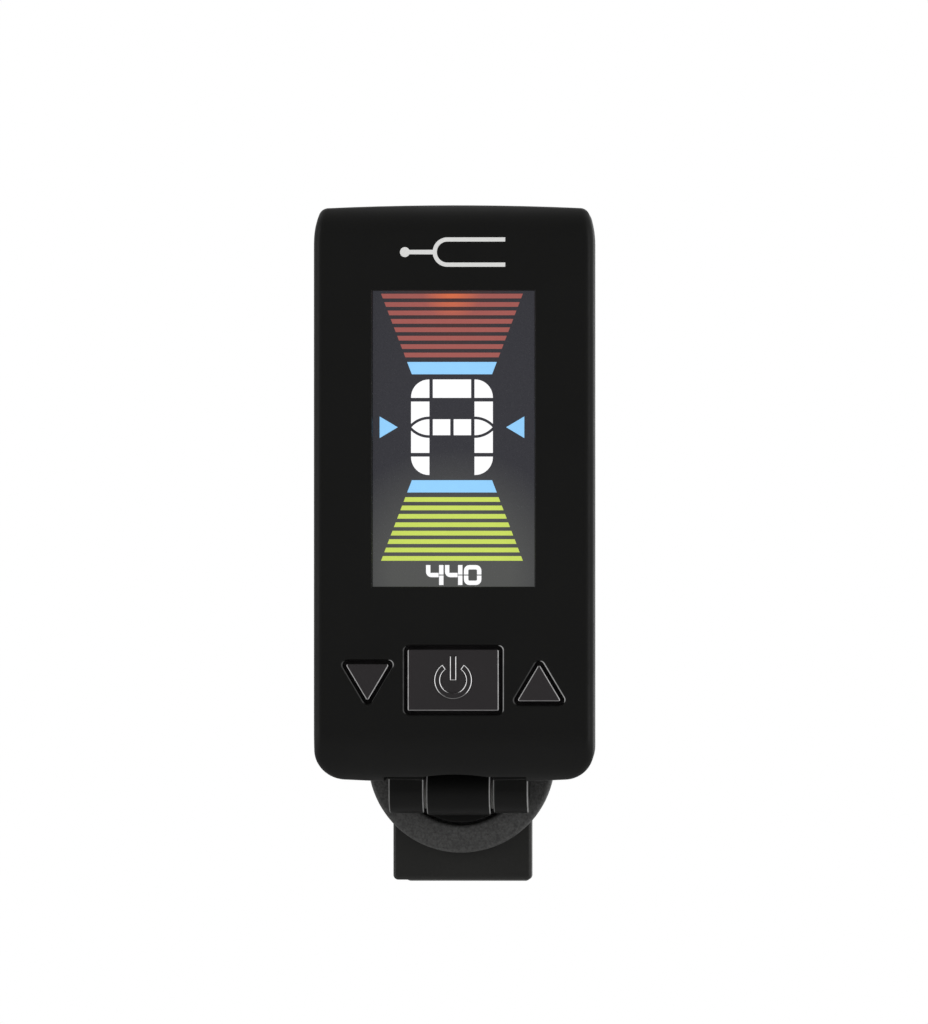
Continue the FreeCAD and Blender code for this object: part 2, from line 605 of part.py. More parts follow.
def rear_shell():
    piece = head_casing("rear_shell", "parting", "head_depth")
    piece.round("rear_round", flat("y", "head_depth"))
    piece.round("seam", flat("y", "parting"))
    piece.cut("y", "parting - beyond", "floor_front", well("rear_well_low", "shelf_high"))
    piece.cut("y", "floor_front", "head_depth - rear_wall", well("rear_well_low", "bay_low"))
    for up, across in (("screw_low_z", "screw_low_x"), ("screw_high_z", "screw_high_x")):
        piece.pad("y", "parting", "floor_front + gap", *two("rear_boss", across, up))
    piece.pad("y", "floor_front", "head_depth - rear_wall + gap",
              *two("rear_boss", "screw_low_x", "screw_low_z"))
    # Battery bay: the hole for the cell, the recess for the door and the grooves for its rails
    piece.cut("y", "floor_front - gap", "head_depth", circle("bay_radius", "0", "cell_mid"))
    piece.cut("y", "head_depth - rear_wall", "head_depth + beyond",
              rectangle("-door_width/2 - gap", "door_width/2 + gap", "door_low - gap", "head_height + beyond"))
    piece.cut("y", "head_depth - rear_wall", "head_depth - rear_wall + rail_thick + 2*gap",
              rectangle("-door_width/2 - rail - gap", "door_width/2 + rail + gap", "rail_low - gap",
                        "head_height + beyond"))
    # Screws
    for level in ("low", "high"):
        place = ("screw_%s_x" % level, "screw_%s_z" % level)
        piece.cut("y", "parting - beyond", "head_depth + beyond", *two("screw_bore", *place))
        piece.cut("y", "screw_%s_seat" % level, "head_depth + beyond", *two("screw_sink", *place))
    # Hinge: the notch for the middle knuckle, the channel over all three and the two outer knuckles
    piece.cut("y", "parting - beyond", "head_depth + beyond",
              rectangle("-knuckle_in", "knuckle_in", "-beyond", "middle_knuckle + hinge_clear - tilt_drop"))
    piece.cut("y", "parting - beyond", "tilt_depth - knuckle - hinge_clear/2",
              rectangle("-channel_half", "channel_half", "-beyond", "channel_height"))
    web = rectangle("tilt_depth - knuckle", "head_depth - rear_round/2",
                    "-tilt_drop", "channel_height + rear_round")
    both_sides(piece, "pad", "knuckle_in", "knuckle_out", web)
    both_sides(piece, "pad", "knuckle_in", "knuckle_out", circle("knuckle", "tilt_depth", "-tilt_drop"))
    for side in ("-knuckle_out", "-knuckle_in", "knuckle_in", "knuckle_out"):
        piece.round("knuckle_edge", flat("x", side), arc_of("knuckle"))
    piece.cut("x", "-head_width", "head_width", circle("tilt_bore", "tilt_depth", "-tilt_drop"))
    return piece


def battery_door():
    piece = head_casing("battery_door", "head_depth - rear_wall + gap", "head_depth")
    piece.round("rear_round", flat("y", "head_depth"))
    depth = ("head_depth - rear_wall", "head_depth + beyond")
    piece.cut("y", *depth, rectangle("-head_width", "head_width", "-beyond", "door_low"))
    piece.cut("y", *depth, rectangle("-head_width", "-door_width/2", "-beyond", "head_height + beyond"),
              rectangle("door_width/2", "head_width", "-beyond", "head_height + beyond"))
    piece.pad("y", "head_depth - rear_wall + gap", "head_depth - rear_wall + gap + rail_thick",
              rectangle("-door_width/2 - rail", "-door_width/2 + gap", "rail_low", "rail_high"),
              rectangle("door_width/2 - gap", "door_width/2 + rail", "rail_low", "rail_high"))
    for k in range(DOOR_GROOVES):
        piece.cut("y", "head_depth - grip_depth", "head_depth + beyond",
                  centred("grip_width", "grip_height", "0", "grip_low + %d*grip_pitch" % k))
    # An arrow that says which way the door slides
    arrow_low = "grip_low + %d*grip_pitch" % (DOOR_GROOVES + 1)
    piece.cut("y", "head_depth - grip_depth/2", "head_depth + beyond",
              polygon(("-grip_pitch", arrow_low), ("grip_pitch", arrow_low),
                      ("0", arrow_low + " + grip_pitch")))
    return piece


def case_screws():
    """Four self-tapping screws: two outside, below, and two under the battery door."""
    piece = Piece("case_screws", "head")
    for up, across, seat in (("screw_low_z", "screw_low_x", "screw_low_seat"),
                             ("screw_high_z", "screw_high_x", "screw_high_seat")):
        piece.pad("y", "screw_tip", seat, *two("screw_core", across, up))
        piece.pad("y", seat, seat + " + screw_head_height", *two("screw_head", across, up))
        for width, height in (("screw_head", "screw_slot_width"), ("screw_slot_width", "screw_head")):
            piece.cut("y", seat + " + screw_head_height - screw_slot", seat + " + screw_head_height + beyond",
                      centred(width, height, "-" + across, up), centred(width, height, across, up))
    return piece


# The display stack

def display_lens():
    piece = Piece("display_lens", "head")
    piece.pad("y", "lens_recess", "front_wall + gap",
              centred("window_width - 2*gap", "window_height - 2*gap", "0", "window_mid"))
    piece.pad("y", "front_wall + gap", "lens_back",
              centred("window_width + 2*lens_flange", "window_height + 2*lens_flange", "0", "window_mid"))
    return piece


def lcd_panel():
    """Two glasses; the front one stays bare at its lower end for the contacts."""
    piece = Piece("lcd_panel", "head")
    piece.pad("y", "lcd_front", "lcd_step", centred("lcd_width", "lcd_height", "0", "window_mid"))
    piece.pad("y", "lcd_step", "lcd_back",
              centred("lcd_width", "lcd_height - lcd_ledge", "0", "window_mid + lcd_ledge/2"))
    return piece


def elastomer_connector():
    low = "window_mid - lcd_height/2 + connector_lift"
    piece = Piece("elastomer_connector", "head")
    return piece.pad("y", "lcd_step + gap", "board_front - gap",
                     rectangle("-connector_width/2", "connector_width/2", low, low + " + connector_height"))


def backlight_guide():
    piece = Piece("backlight_guide", "head")
    return piece.pad("y", "lcd_back + gap", "guide_back",
                     rectangle("-guide_width/2", "guide_width/2", "guide_low", "guide_high"))


def backlight_leds():
    """Three side-firing lights at the upper end of the light guide."""
    piece = Piece("backlight_leds", "head")
    low = "guide_high + gap"
    for k in (-1, 0, 1):
        piece.pad("y", "led_front", "board_front",
                  rectangle("%d*led_pitch - led_width/2" % k, "%d*led_pitch + led_width/2" % k,
                            low, low + " + led_height"))
    return piece


def lcd_frame():
    """Holds the glass, the light guide and the connector square on the board."""
    piece = Piece("lcd_frame", "head")
    piece.pad("y", "front_wall + gap", "board_front - gap",
              centred("lcd_width + 2*gap + 2*frame_rim", "lcd_height + 2*gap + 2*frame_rim",
                      "0", "window_mid"))
    return piece.cut("y", "front_wall", "board_front",
                     centred("lcd_width + 2*gap", "lcd_height + 2*gap", "0", "window_mid"))


# The main board and what it carries

def main_board():
    piece = Piece("main_board", "head")
    piece.pad("y", "board_front", "board_back",
              rectangle("-board_width/2", "board_width/2", "tongue_low", "tongue_high"))
    return piece.pad("y", "board_front", "board_back",
                     rectangle("-board_tongue/2", "board_tongue/2", "board_low", "board_high"))


def controller_chip():
    piece = Piece("controller_chip", "head")
    back = "board_back + chip_height"
    piece.pad("y", "board_back", back, centred("chip_size", "chip_size", "0", "chip_mid"))
    return piece.round("chip_edge", flat("y", back))


def crystal():
    piece = Piece("crystal", "head")
    piece.pad("y", "board_back", "board_back + crystal_width",
              centred("crystal_length", "crystal_width", "led_pitch", "crystal_mid"))
    return piece.round("crystal_width/3", along("y"))


def board_components():
    """Small surface-mounted capacitors and resistors round the controller."""
    piece = Piece("board_components", "head")
    places = [(across, up) for across in SMALL_PART_COLUMNS for up in SMALL_PART_ROWS]
    outlines = [centred("small_part", "small_length", "%d*small_pitch" % across,
                        "chip_mid + (%d)*small_pitch" % up) for across, up in places]
    return piece.pad("y", "board_back", "board_back + small_part/2", *outlines)


def tact_switches():
    piece = Piece("tact_switches", "head")
    places = [("0", "power_line"), ("-arrow_offset", "arrow_line"), ("arrow_offset", "arrow_line")]
    for across, up in places:
        piece.pad("y", "switch_front", "board_front", centred("switch_size", "switch_size", across, up))
        piece.cut("y", "switch_front - beyond", "plunger_bore_end", circle("plunger_bore", across, up))
    return piece


# The buttons: each cap, with its flange and stem, pushes a switch plunger

def button(label, outline, flange, across, up):
    piece = Piece(label, "head")
    piece.pad("y", "-button_proud", "flange_front", outline)
    piece.round("button_corner", along("y"))
    piece.round("button_edge", flat("y", "-button_proud"))
    piece.pad("y", "flange_front", "flange_back", flange)
    piece.pad("y", "flange_back", "stem_back", circle("stem", across, up))
    return piece


def power_button():
    piece = button("power_button", power_outline(),
                   centred("power_flange_width", "power_flange_height", "0", "power_line"), "0", "power_line")
    # The raised power symbol: a ring that is open at the top, and a bar in the opening
    face = ("-button_proud - symbol_height", "-button_proud + gap")
    above = ("-button_proud - symbol_height", "-button_proud")
    piece.pad("y", *face, circle("symbol_outer", "0", "power_line"), circle("symbol_inner", "0", "power_line"))
    opening = "symbol_top*tan(symbol_gap)"
    top = "power_line + symbol_top"
    piece.cut("y", *above, polygon(("0", "power_line"), (opening, top), ("-" + opening, top)))
    piece.pad("y", *face, rectangle("-symbol_bar/2", "symbol_bar/2", "power_line", top))
    return piece.round("symbol_edge", flat("y", face[0]))


def arrow_button(label, side):
    across = "%d*arrow_offset" % side
    flange = rectangle("%s - arrow_flange_width/2" % across, "%s + arrow_flange_width/2" % across,
                       "arrow_flange_low", "arrow_flange_high")
    return button(label, arrow(side), flange, across, "arrow_line")


def plunger(label, across, up):
    return Piece(label, "head").pad("y", "stem_back", "plunger_back", circle("plunger", across, up))


# Power and sensor

def coin_cell():
    """A can with a smaller negative cap, which faces the display."""
    piece = Piece("coin_cell", "head")
    piece.pad("y", "cell_front", "cell_front + cell_cap_height + gap", circle("cell_cap", "0", "cell_mid"))
    piece.pad("y", "cell_front + cell_cap_height", "cell_front + cell_height",
              circle("cell_radius", "0", "cell_mid"))
    piece.round("cell_edge", flat("y", "cell_front + cell_height"))
    return piece.round("cell_crimp", flat("y", "cell_front + cell_cap_height"),
                       between("x", "-cell_radius", "cell_radius"))


def battery_contact_positive():
    """An angle of spring strip on the board that touches the side of the cell."""
    piece = Piece("battery_contact_positive", "head")
    inner = "cell_radius + 2*gap"
    foot = "board_width/2 - 6*gap"
    return piece.pad("z", "cell_mid - leaf_width/2", "cell_mid + leaf_width/2", polygon(
        (inner, "board_back"), (foot, "board_back"), (foot, "board_back + leaf"),
        (inner + " + leaf", "board_back + leaf"), (inner + " + leaf", "floor_front - 2*gap"),
        (inner, "floor_front - 2*gap")))


def battery_contact_negative():
    """A leaf on the board that springs up under the cell's cap."""
    piece = Piece("battery_contact_negative", "head")
    foot = "cell_mid - leaf_width"
    tip = "cell_mid + leaf_width"
    return piece.pad("x", "-leaf_width/2", "leaf_width/2", polygon(
        ("board_back", foot), ("board_back + leaf", foot), ("board_back + leaf", "cell_mid - leaf"),
        ("leaf_reach", tip), ("leaf_reach - leaf", tip), ("board_back", "cell_mid")))


def piezo_plate():
    return Piece("piezo_plate", "head").pad("y", "sensor_front", "head_depth - rear_wall",
                                            circle("sensor_radius", "0", "sensor_mid"))


def piezo_ceramic():
    return Piece("piezo_ceramic", "head").pad("y", "ceramic_front", "sensor_front",
                                              circle("ceramic_radius", "0", "sensor_mid"))


# The tilt hinge and the swivel

def tilt_pin():
    piece = Piece("tilt_pin", "head")
    piece.pad("x", "-tilt_pin_end", "tilt_pin_end", circle("tilt_pin", "tilt_depth", "-tilt_drop"))
    return piece.round("tilt_pin/5", flat("x", "tilt_pin_end"))


def tilt_washers():
    """Two friction washers, one on each side of the middle knuckle."""
    piece = Piece("tilt_washers", "head")
    both_sides(piece, "pad", "middle_half + tilt_washer_gap", "knuckle_in - tilt_washer_gap",
               circle("tilt_washer", "tilt_depth", "-tilt_drop"),
               circle("tilt_washer_bore", "tilt_depth", "-tilt_drop"))
    return piece


def swivel_housing():
    piece = Piece("swivel_housing", "swivel")
    piece.pad("y", "0", "ring_depth", circle("ring_radius"))
    piece.cut("y", "-beyond", "ring_depth - ring_floor", circle("ring_bore"))
    piece.cut("y", "0", "ring_depth + beyond", circle("hub_bore"))
    return piece.round("ring_edge", flat("y", "0"))


def swivel_plate():
    """The disc that turns in the swivel ring; its knuckle carries the head."""
    tilt_y = "tilt_depth - head_depth - head_gap"
    tilt_z = "-tilt_below_swivel"
    piece = Piece("swivel_plate", "swivel")
    piece.pad("x", "-middle_half", "middle_half", circle("middle_knuckle", tilt_y, tilt_z))
    piece.round("knuckle_edge", arc_of("middle_knuckle"))
    piece.pad("x", "-middle_half", "middle_half",
              rectangle(tilt_y, "plate_recess + gap", tilt_z + " - web_low", tilt_z + " + web_high"))
    piece.pad("y", "plate_recess", "ring_depth - ring_floor - gap", circle("plate_radius"))
    piece.pad("y", "plate_recess + gap", "hub_end", circle("hub"))
    piece.cut("x", "-head_width", "head_width", circle("tilt_bore", tilt_y, tilt_z))
    return piece.cut("y", "swivel_screw_tip - gap", "hub_end + beyond", circle("swivel_thread"))


def wave_washer():
    piece = Piece("wave_washer", "swivel")
    floor = "ring_depth + jaw_thick - sink_depth"
    return piece.pad("y", floor, floor + " + wave_washer_thick",
                     circle("wave_washer"), circle("wave_washer_bore"))


def swivel_screw():
    piece = Piece("swivel_screw", "swivel")
    seat = "ring_depth + jaw_thick - sink_depth + wave_washer_thick"
    piece.pad("y", "swivel_screw_tip", seat, circle("swivel_screw"))
    piece.pad("y", seat, seat + " + swivel_head_height", circle("swivel_head"))
    for width, height in (("swivel_head", "2*screw_slot_width"), ("2*screw_slot_width", "swivel_head")):
        piece.cut("y", seat + " + swivel_head_height - screw_slot", seat + " + swivel_head_height + beyond",
                  centred(width, height))
    return piece


# The clip

def ribs(face, start, along_y, along_z):
    """Finger ribs across a handle: circles on its outer face, stepping down from its end."""
    steps = ["%d*rib_pitch" % k for k in range(FINGER_RIBS)]
    return [circle("rib", "%s - %s*%s" % (face, step, along_y), "%s - %s*%s" % (start, step, along_z))
            for step in steps]


def clip_front_jaw():
    """The plate that carries the swivel ring, one pad and the fixed ears of the clip's pin."""
    piece = Piece("clip_front_jaw", "clip")
    piece.pad("y", "-pad_thick - jaw_thick", "-pad_thick",
              rectangle("-clip_width/2", "clip_width/2", "-jaw_tip", "jaw_top"))
    piece.round("jaw_corner", along("y"), between("z", "-jaw_tip", "-jaw_tip"))
    piece.round("handle_corner", along("y"), between("z", "jaw_top", "jaw_top"))
    piece.round("jaw_edge", flat("y", "-pad_thick - jaw_thick"))
    piece.pad("x", "-rib_width/2", "rib_width/2",
              *ribs("-pad_thick - jaw_thick", "jaw_top - rib_start", "0", "1"))
    # Each ear runs back to the pin; its heel ends on the plane where the shut rear jaw's plate stops
    stop = "(lever_offset - gap)"
    heel_top = ("pin_depth + %s*cos(jaw_lean)" % stop, "pin_height - %s*sin(jaw_lean)" % stop)
    heel_low = ("%s - heel*sin(jaw_lean)" % heel_top[0], "%s - heel*cos(jaw_lean)" % heel_top[1])
    ear = polygon(("-pad_thick - gap", "pin_height - ear_reach"), heel_low, heel_top,
                  ("pin_depth", "pin_height + ear"), ("-pad_thick - gap", "pin_height + ear_reach"))
    both_sides(piece, "pad", "ear_in", "clip_width/2", ear)
    piece.cut("x", "-clip_width", "clip_width", circle("pressed_bore", "pin_depth", "pin_height"))
    piece.cut("y", "-pad_thick - sink_depth", "0", circle("swivel_sink", "0", "swivel_height"))
    return piece.cut("y", "-pad_thick - jaw_thick - beyond", "0", circle("hub_bore", "0", "swivel_height"))


def front_jaw_pad():
    piece = Piece("front_jaw_pad", "clip")
    piece.pad("y", "-pad_thick", "0", centred("pad_width", "2*pad_half"))
    return piece.round("pad_corner", along("y"))


def clip_rear_jaw():
    """The sprung jaw: a bent plate with two ears that turn on the clip's pin."""
    piece = Piece("clip_rear_jaw", "lever")
    outer = "lever_offset + jaw_thick"
    end_y = "lever_offset + handle_length*sin(handle_bend)"
    end_z = "handle_start + handle_length*cos(handle_bend)"
    piece.pad("x", "-lever_width/2", "lever_width/2", polygon(
        ("lever_offset", "-lever_drop"), ("lever_offset", "handle_start"), (end_y, end_z),
        (end_y + " + jaw_thick*cos(handle_bend)", end_z + " - jaw_thick*sin(handle_bend)"),
        (outer, "handle_start - jaw_thick*tan(handle_bend/2)"), (outer, "-lever_drop")))
    piece.round("jaw_corner", along("y"), between("z", "-lever_drop", "-lever_drop"))
    piece.round("handle_corner", between("z", end_z + " - jaw_thick*sin(handle_bend)", end_z),
                lambda edge: spans(edge, "x")[1] - spans(edge, "x")[0] < SMALL)
    piece.round("jaw_edge", flat("y", outer), along("z"))
    first_y = "%s + jaw_thick*cos(handle_bend) - rib_start*sin(handle_bend)" % end_y
    first_z = "%s - jaw_thick*sin(handle_bend) - rib_start*cos(handle_bend)" % end_z
    piece.pad("x", "-rib_width/2", "rib_width/2",
              *ribs(first_y, first_z, "sin(handle_bend)", "cos(handle_bend)"))
    ear = polygon(("lever_offset + gap", "-lever_ear_reach"),
                  ("lever_offset + gap", "lever_ear_reach - handle_start"),
                  ("0", "lever_ear"), ("0", "-lever_ear"))
    both_sides(piece, "pad", "lever_ear_in", "lever_ear_out", ear)
    both_sides(piece, "pad", "lever_ear_in", "lever_ear_out", circle("lever_ear"))
    return piece.cut("x", "-lever_width", "lever_width", circle("turning_bore"))


def rear_jaw_pad():
    """A tapered pad, so that the two pads are parallel on a headstock."""
    piece = Piece("rear_jaw_pad", "lever")
    low = "lever_pad_lift - lever_drop"
    high = low + " + lever_pad_height"
    piece.pad("x", "-lever_pad_width/2", "lever_pad_width/2", polygon(
        ("lever_offset", low), ("lever_offset", high),
        ("lever_offset - lever_pad_low + lever_pad_height*tan(lever_pad_taper)", high),
        ("lever_offset - lever_pad_low", low)))
    return piece.round("pad_corner", along("y"))


def clip_pin():
    piece = Piece("clip_pin", "clip")
    piece.pad("x", "-clip_pin_end", "clip_pin_end", circle("clip_pin", "pin_depth", "pin_height"))
    return piece.round("clip_pin/4", flat("x", "clip_pin_end"))


# Bent wire, which no body feature suits: a round section swept along a path

def sweep(path, radius):
    start = path.Edges[0]
    begin = start.ParameterRange[0]
    section = Part.Circle(start.valueAt(begin), start.tangentAt(begin), number(radius))
    return path.makePipeShell([Part.Wire(section.toShape())], True, True)


def wire_piece(label, frame, shape):
    piece = doc.addObject("Part::Feature", label)
    piece.Label = label
    piece.Shape = shape
    piece.Placement = FreeCAD.Placement(Vector(*[number(text) for text in FRAMES[frame]]), FreeCAD.Rotation())


def torsion_spring():
    """A coil round the clip's pin with a straight leg, tangent to it, on each handle."""
    start = 180 + number("front_leg_lean")
    turn = 360 * number("spring_turns") + 180 - number("front_leg_lean + rear_leg_lean")
    length = number("2*spring_half")
    coil = Part.makeHelix(length * 360 / turn, length, number("spring_radius"))
    # The helix is made along Z: turn Z to X, X to Y and Y to Z, then spin it to where the front leg leaves
    lay = FreeCAD.Rotation(Vector(0, 1, 0), Vector(0, 0, 1), Vector(1, 0, 0), "ZXY")
    spin = FreeCAD.Rotation(Vector(1, 0, 0), start)
    coil.Placement = FreeCAD.Placement(Vector(-length / 2, 0, 0), spin.multiply(lay))
    edge = coil.Edges[0]
    first, last = edge.ParameterRange
    leg = number("leg")
    low = edge.valueAt(first)
    high = edge.valueAt(last)
    front_leg = Part.makeLine(low - edge.tangentAt(first) * leg, low)
    rear_leg = Part.makeLine(high, high + edge.tangentAt(last) * leg)
    wire_piece("torsion_spring", "lever", sweep(Part.Wire([front_leg, edge, rear_leg]), "wire"))


def piezo_leads():
    """Two soft wires from the sensor's ceramic to the board."""
    forward = Vector(0, -1, 0)
    wires = []
    for side in (-1, 1):
        across = side * number("ceramic_radius") / 3
        begin = Vector(across, number("ceramic_front"), number("sensor_mid"))
        end = Vector(across, number("board_back"), number("sensor_mid - lead_drop"))
        curve = Part.BSplineCurve()
        curve.interpolate(Points=[begin, (begin + end) / 2, end], InitialTangent=forward, FinalTangent=forward)
        wires.append(sweep(Part.Wire(curve.toShape()), "lead"))
    wire_piece("piezo_leads", "head", Part.makeCompound(wires))


for make in (front_shell, rear_shell, battery_door, case_screws, display_lens, lcd_panel, elastomer_connector,
             backlight_guide, backlight_leds, lcd_frame, main_board, controller_chip, crystal, board_components,
             tact_switches, power_button, coin_cell, battery_contact_positive, battery_contact_negative,
             piezo_plate, piezo_ceramic, tilt_pin, tilt_washers, swivel_housing, swivel_plate, wave_washer,
             swivel_screw, clip_front_jaw, front_jaw_pad, clip_rear_jaw, rear_jaw_pad, clip_pin, torsion_spring,
             piezo_leads):
    make()
arrow_button("down_button", -1)
arrow_button("up_button", 1)
plunger("power_plunger", "0", "power_line")
plunger("down_plunger", "-arrow_offset", "arrow_line")
plunger("up_plunger", "arrow_offset", "arrow_line")
doc.recompute()


# ---- Check and write ---------------------------------------------------------------------------------------

faults = ["%s is %s" % (item.Label, item.State) for item in doc.Objects
          if "Invalid" in item.State or "Error" in item.State]
sub_parts = [item for item in doc.Objects
             if item.TypeId == "PartDesign::Body" or item.TypeId == "Part::Feature"]
for item in sub_parts:
    if item.Shape.isNull() or not item.Shape.isValid() or not item.Shape.Solids:
        faults.append("%s has no valid solid" % item.Label)
if faults:
    raise RuntimeError("; ".join(faults))
os.makedirs("parts", exist_ok=True)
for item in sub_parts:
    item.Shape.exportStep(os.path.join("parts", item.Label + ".step"))
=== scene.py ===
"""Looks for the clip-on tuner: lit display, printed mark, pads, spring wire, finishes, light and camera.

Everything is in metres in the part's own frame: +X to the right of the display, -Y towards the player, +Z up.
"""

import json
import math

import bmesh
import bpy
from mathutils import Matrix, Vector


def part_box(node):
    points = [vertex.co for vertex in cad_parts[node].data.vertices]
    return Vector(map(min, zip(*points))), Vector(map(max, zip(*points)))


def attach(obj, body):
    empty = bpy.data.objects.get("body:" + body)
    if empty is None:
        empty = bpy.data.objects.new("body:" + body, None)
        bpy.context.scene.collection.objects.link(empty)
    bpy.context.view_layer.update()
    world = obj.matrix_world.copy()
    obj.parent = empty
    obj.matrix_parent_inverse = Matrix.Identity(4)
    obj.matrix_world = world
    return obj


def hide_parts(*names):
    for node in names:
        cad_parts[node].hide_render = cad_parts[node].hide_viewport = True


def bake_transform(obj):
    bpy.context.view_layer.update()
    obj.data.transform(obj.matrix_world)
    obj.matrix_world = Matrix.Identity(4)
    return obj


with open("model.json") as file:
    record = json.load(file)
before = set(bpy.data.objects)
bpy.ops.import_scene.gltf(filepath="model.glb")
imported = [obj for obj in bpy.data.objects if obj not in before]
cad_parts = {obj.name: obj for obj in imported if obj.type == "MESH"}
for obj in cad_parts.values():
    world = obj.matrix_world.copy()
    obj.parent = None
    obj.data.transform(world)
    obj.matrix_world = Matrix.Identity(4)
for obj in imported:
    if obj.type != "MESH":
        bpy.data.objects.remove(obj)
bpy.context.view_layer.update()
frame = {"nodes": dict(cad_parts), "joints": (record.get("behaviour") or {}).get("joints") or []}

MM = 0.001


# ---- Places that the frame gives ---------------------------------------------------------------------------

window_low, window_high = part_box("display_lens")
face_low, face_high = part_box("front_shell")
HEAD_FACE = face_low.y
GLASS_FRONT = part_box("lcd_panel")[0].y
LENS_FLANGE = 1.2 * MM  # how far the lens reaches past the window, above and below
WINDOW_BOTTOM = window_low.z + LENS_FLANGE
WINDOW_TOP = window_high.z - LENS_FLANGE
WINDOW_MID = (WINDOW_BOTTOM + WINDOW_TOP) / 2
CLIP_PIVOT = Vector(next(joint["pos_m"] for joint in frame["joints"] if joint["name"] == "clip_open"))


def middle_of(box_node, node):
    """The middle of one node's box, in the coordinates of another node."""
    low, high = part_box(box_node)
    return frame["nodes"][node].matrix_world.inverted() @ ((low + high) / 2)


# ---- Mesh building -----------------------------------------------------------------------------------------

def add_object(name, mesh):
    piece = bpy.data.objects.new(name, mesh)
    bpy.context.scene.collection.objects.link(piece)
    return piece


def finish_mesh(name, shape, smooth=False):
    bmesh.ops.recalc_face_normals(shape, faces=shape.faces)
    mesh = bpy.data.meshes.new(name)
    shape.to_mesh(mesh)
    shape.free()
    for polygon in mesh.polygons:
        polygon.use_smooth = smooth
    return mesh


def prisms(name, outlines, front, back):
    """Closed thin plates with the outlines, (x, z) points in metres, from depth front to depth back."""
    shape = bmesh.new()
    for outline in outlines:
        near = [shape.verts.new((x, front, z)) for x, z in outline]
        far = [shape.verts.new((x, back, z)) for x, z in outline]
        shape.faces.new(near)
        shape.faces.new(far[::-1])
        for k in range(len(outline)):
            shape.faces.new((near[k], near[k - 1], far[k - 1], far[k]))
    return finish_mesh(name, shape)


def skin(shape, loops):
    """Close a skin round a row of loops of points, with a cap at each end."""
    for low, high in zip(loops, loops[1:]):
        for k in range(len(low)):
            shape.faces.new((low[k - 1], low[k], high[k], high[k - 1]))
    shape.faces.new(loops[0])
    shape.faces.new(loops[-1][::-1])


def arc(centre, radius, start, end, steps=10):
    """Points along an arc, angles in degrees anticlockwise from +x."""
    turn = [math.radians(start + (end - start) * k / steps) for k in range(steps + 1)]
    return [(centre[0] + radius * math.cos(a), centre[1] + radius * math.sin(a)) for a in turn]


def mirror_x(outline):
    return [(-x, z) for x, z in reversed(outline)]


def mirror_z(outline):
    return [(x, -z) for x, z in reversed(outline)]


def block(left, right, low, high):
    return [(left, low), (right, low), (right, high), (left, high)]


# ---- Display graphics, in millimetres about the middle of the picture --------------------------------------

PICTURE_X = -0.25
PICTURE_Z = 1.15
FUNNEL_START = 5.3
FUNNEL_HALF = 4.02
FUNNEL_SLOPE = 0.383
BAND_HEIGHT = 1.23
BARS = 8
BAR_OUTER = 13.36
BAR_PITCH = 0.842
BAR_HEIGHT = 0.47
NOTE_HALF = 4.1
NOTE_HIGH = 4.78
STROKE = 1.84


def funnel(low, high):
    """A bar across the funnel, which widens away from the middle."""
    half_low = FUNNEL_HALF + FUNNEL_SLOPE * (low - FUNNEL_START)
    half_high = FUNNEL_HALF + FUNNEL_SLOPE * (high - FUNNEL_START)
    return [(-half_low, low), (half_low, low), (half_high, high), (-half_high, high)]


def funnel_bars():
    """The pitch bars above the note, outermost first."""
    tops = [BAR_OUTER - BAR_PITCH * k for k in range(BARS)]
    return [funnel(top - BAR_HEIGHT, top) for top in tops]


def note_segments():
    """The letter A of a segment display: quarter corners, side strokes and a middle made of lens halves."""
    inner = NOTE_HALF - STROKE
    corner_low = NOTE_HIGH - STROKE
    rounding = STROKE - 0.05
    corner = [(-inner, corner_low), (-inner, NOTE_HIGH)]
    corner += arc((-NOTE_HALF + rounding, NOTE_HIGH - rounding), rounding, 90, 180)
    corner += [(-NOTE_HALF, corner_low)]
    side_top = 2.57
    lens_half = 0.8
    lens_reach = 1.8
    gap = 0.27
    bow = (lens_half ** 2 + lens_reach ** 2) / (2 * lens_half)
    swing = math.degrees(math.asin(lens_reach / bow))
    bow_centre = (-inner, lens_half - bow)
    upper = arc(bow_centre, bow, 90, 90 + swing, 8)
    lens = upper + [(x, -z) for x, z in reversed(upper[:-1])]
    over = math.degrees(math.asin(STROKE / (bow + gap)))
    side = [(-inner, side_top), (-NOTE_HALF, side_top)]
    side += arc(bow_centre, bow + gap, 90 + over, 90, 8)
    half = [corner, side, lens, mirror_z(corner), mirror_z(side)]
    middle_start, middle_end = 0.17, 1.92
    middle = block(middle_start, middle_end, -lens_half, lens_half)
    bar_gap = 0.34
    bar_half = inner - bar_gap
    top_bar = block(-bar_half, bar_half, corner_low, NOTE_HIGH)
    return half + [mirror_x(outline) for outline in half] + [top_bar, middle, mirror_x(middle)]


def digit(figure, left, low):
    """A segment figure, 0 or 4, slightly gapped and with rounded outer corners."""
    width = 1.75
    height = 2.0
    stroke = 0.44
    gap = 0.05
    rounding = 0.55
    mid = height / 2
    stem = width - stroke
    if figure == "0":
        upper = [(0, mid + gap)]
        upper += arc((rounding, height - rounding), rounding, 180, 90, 5)
        upper += arc((width - rounding, height - rounding), rounding, 90, 0, 5)
        upper += [(width, mid + gap), (stem, mid + gap)]
        upper += arc((width - rounding, height - rounding), rounding - stroke, 0, 90, 3)
        upper += arc((rounding, height - rounding), rounding - stroke, 90, 180, 3)
        upper += [(stroke, mid + gap)]
        shapes = [upper, [(x, height - z) for x, z in reversed(upper)]]
    else:
        hook = [(stroke, height), (0, height)]
        hook += arc((rounding, mid - stroke / 2 + rounding), rounding, 180, 270, 5)
        hook += [(stem - gap, mid - stroke / 2), (stem - gap, mid + stroke / 2), (stroke, mid + stroke / 2)]
        shapes = [hook, block(stem, width, mid + gap, height), block(stem, width, 0, mid - gap)]
    return [[(left + x, low + z) for x, z in shape] for shape in shapes]


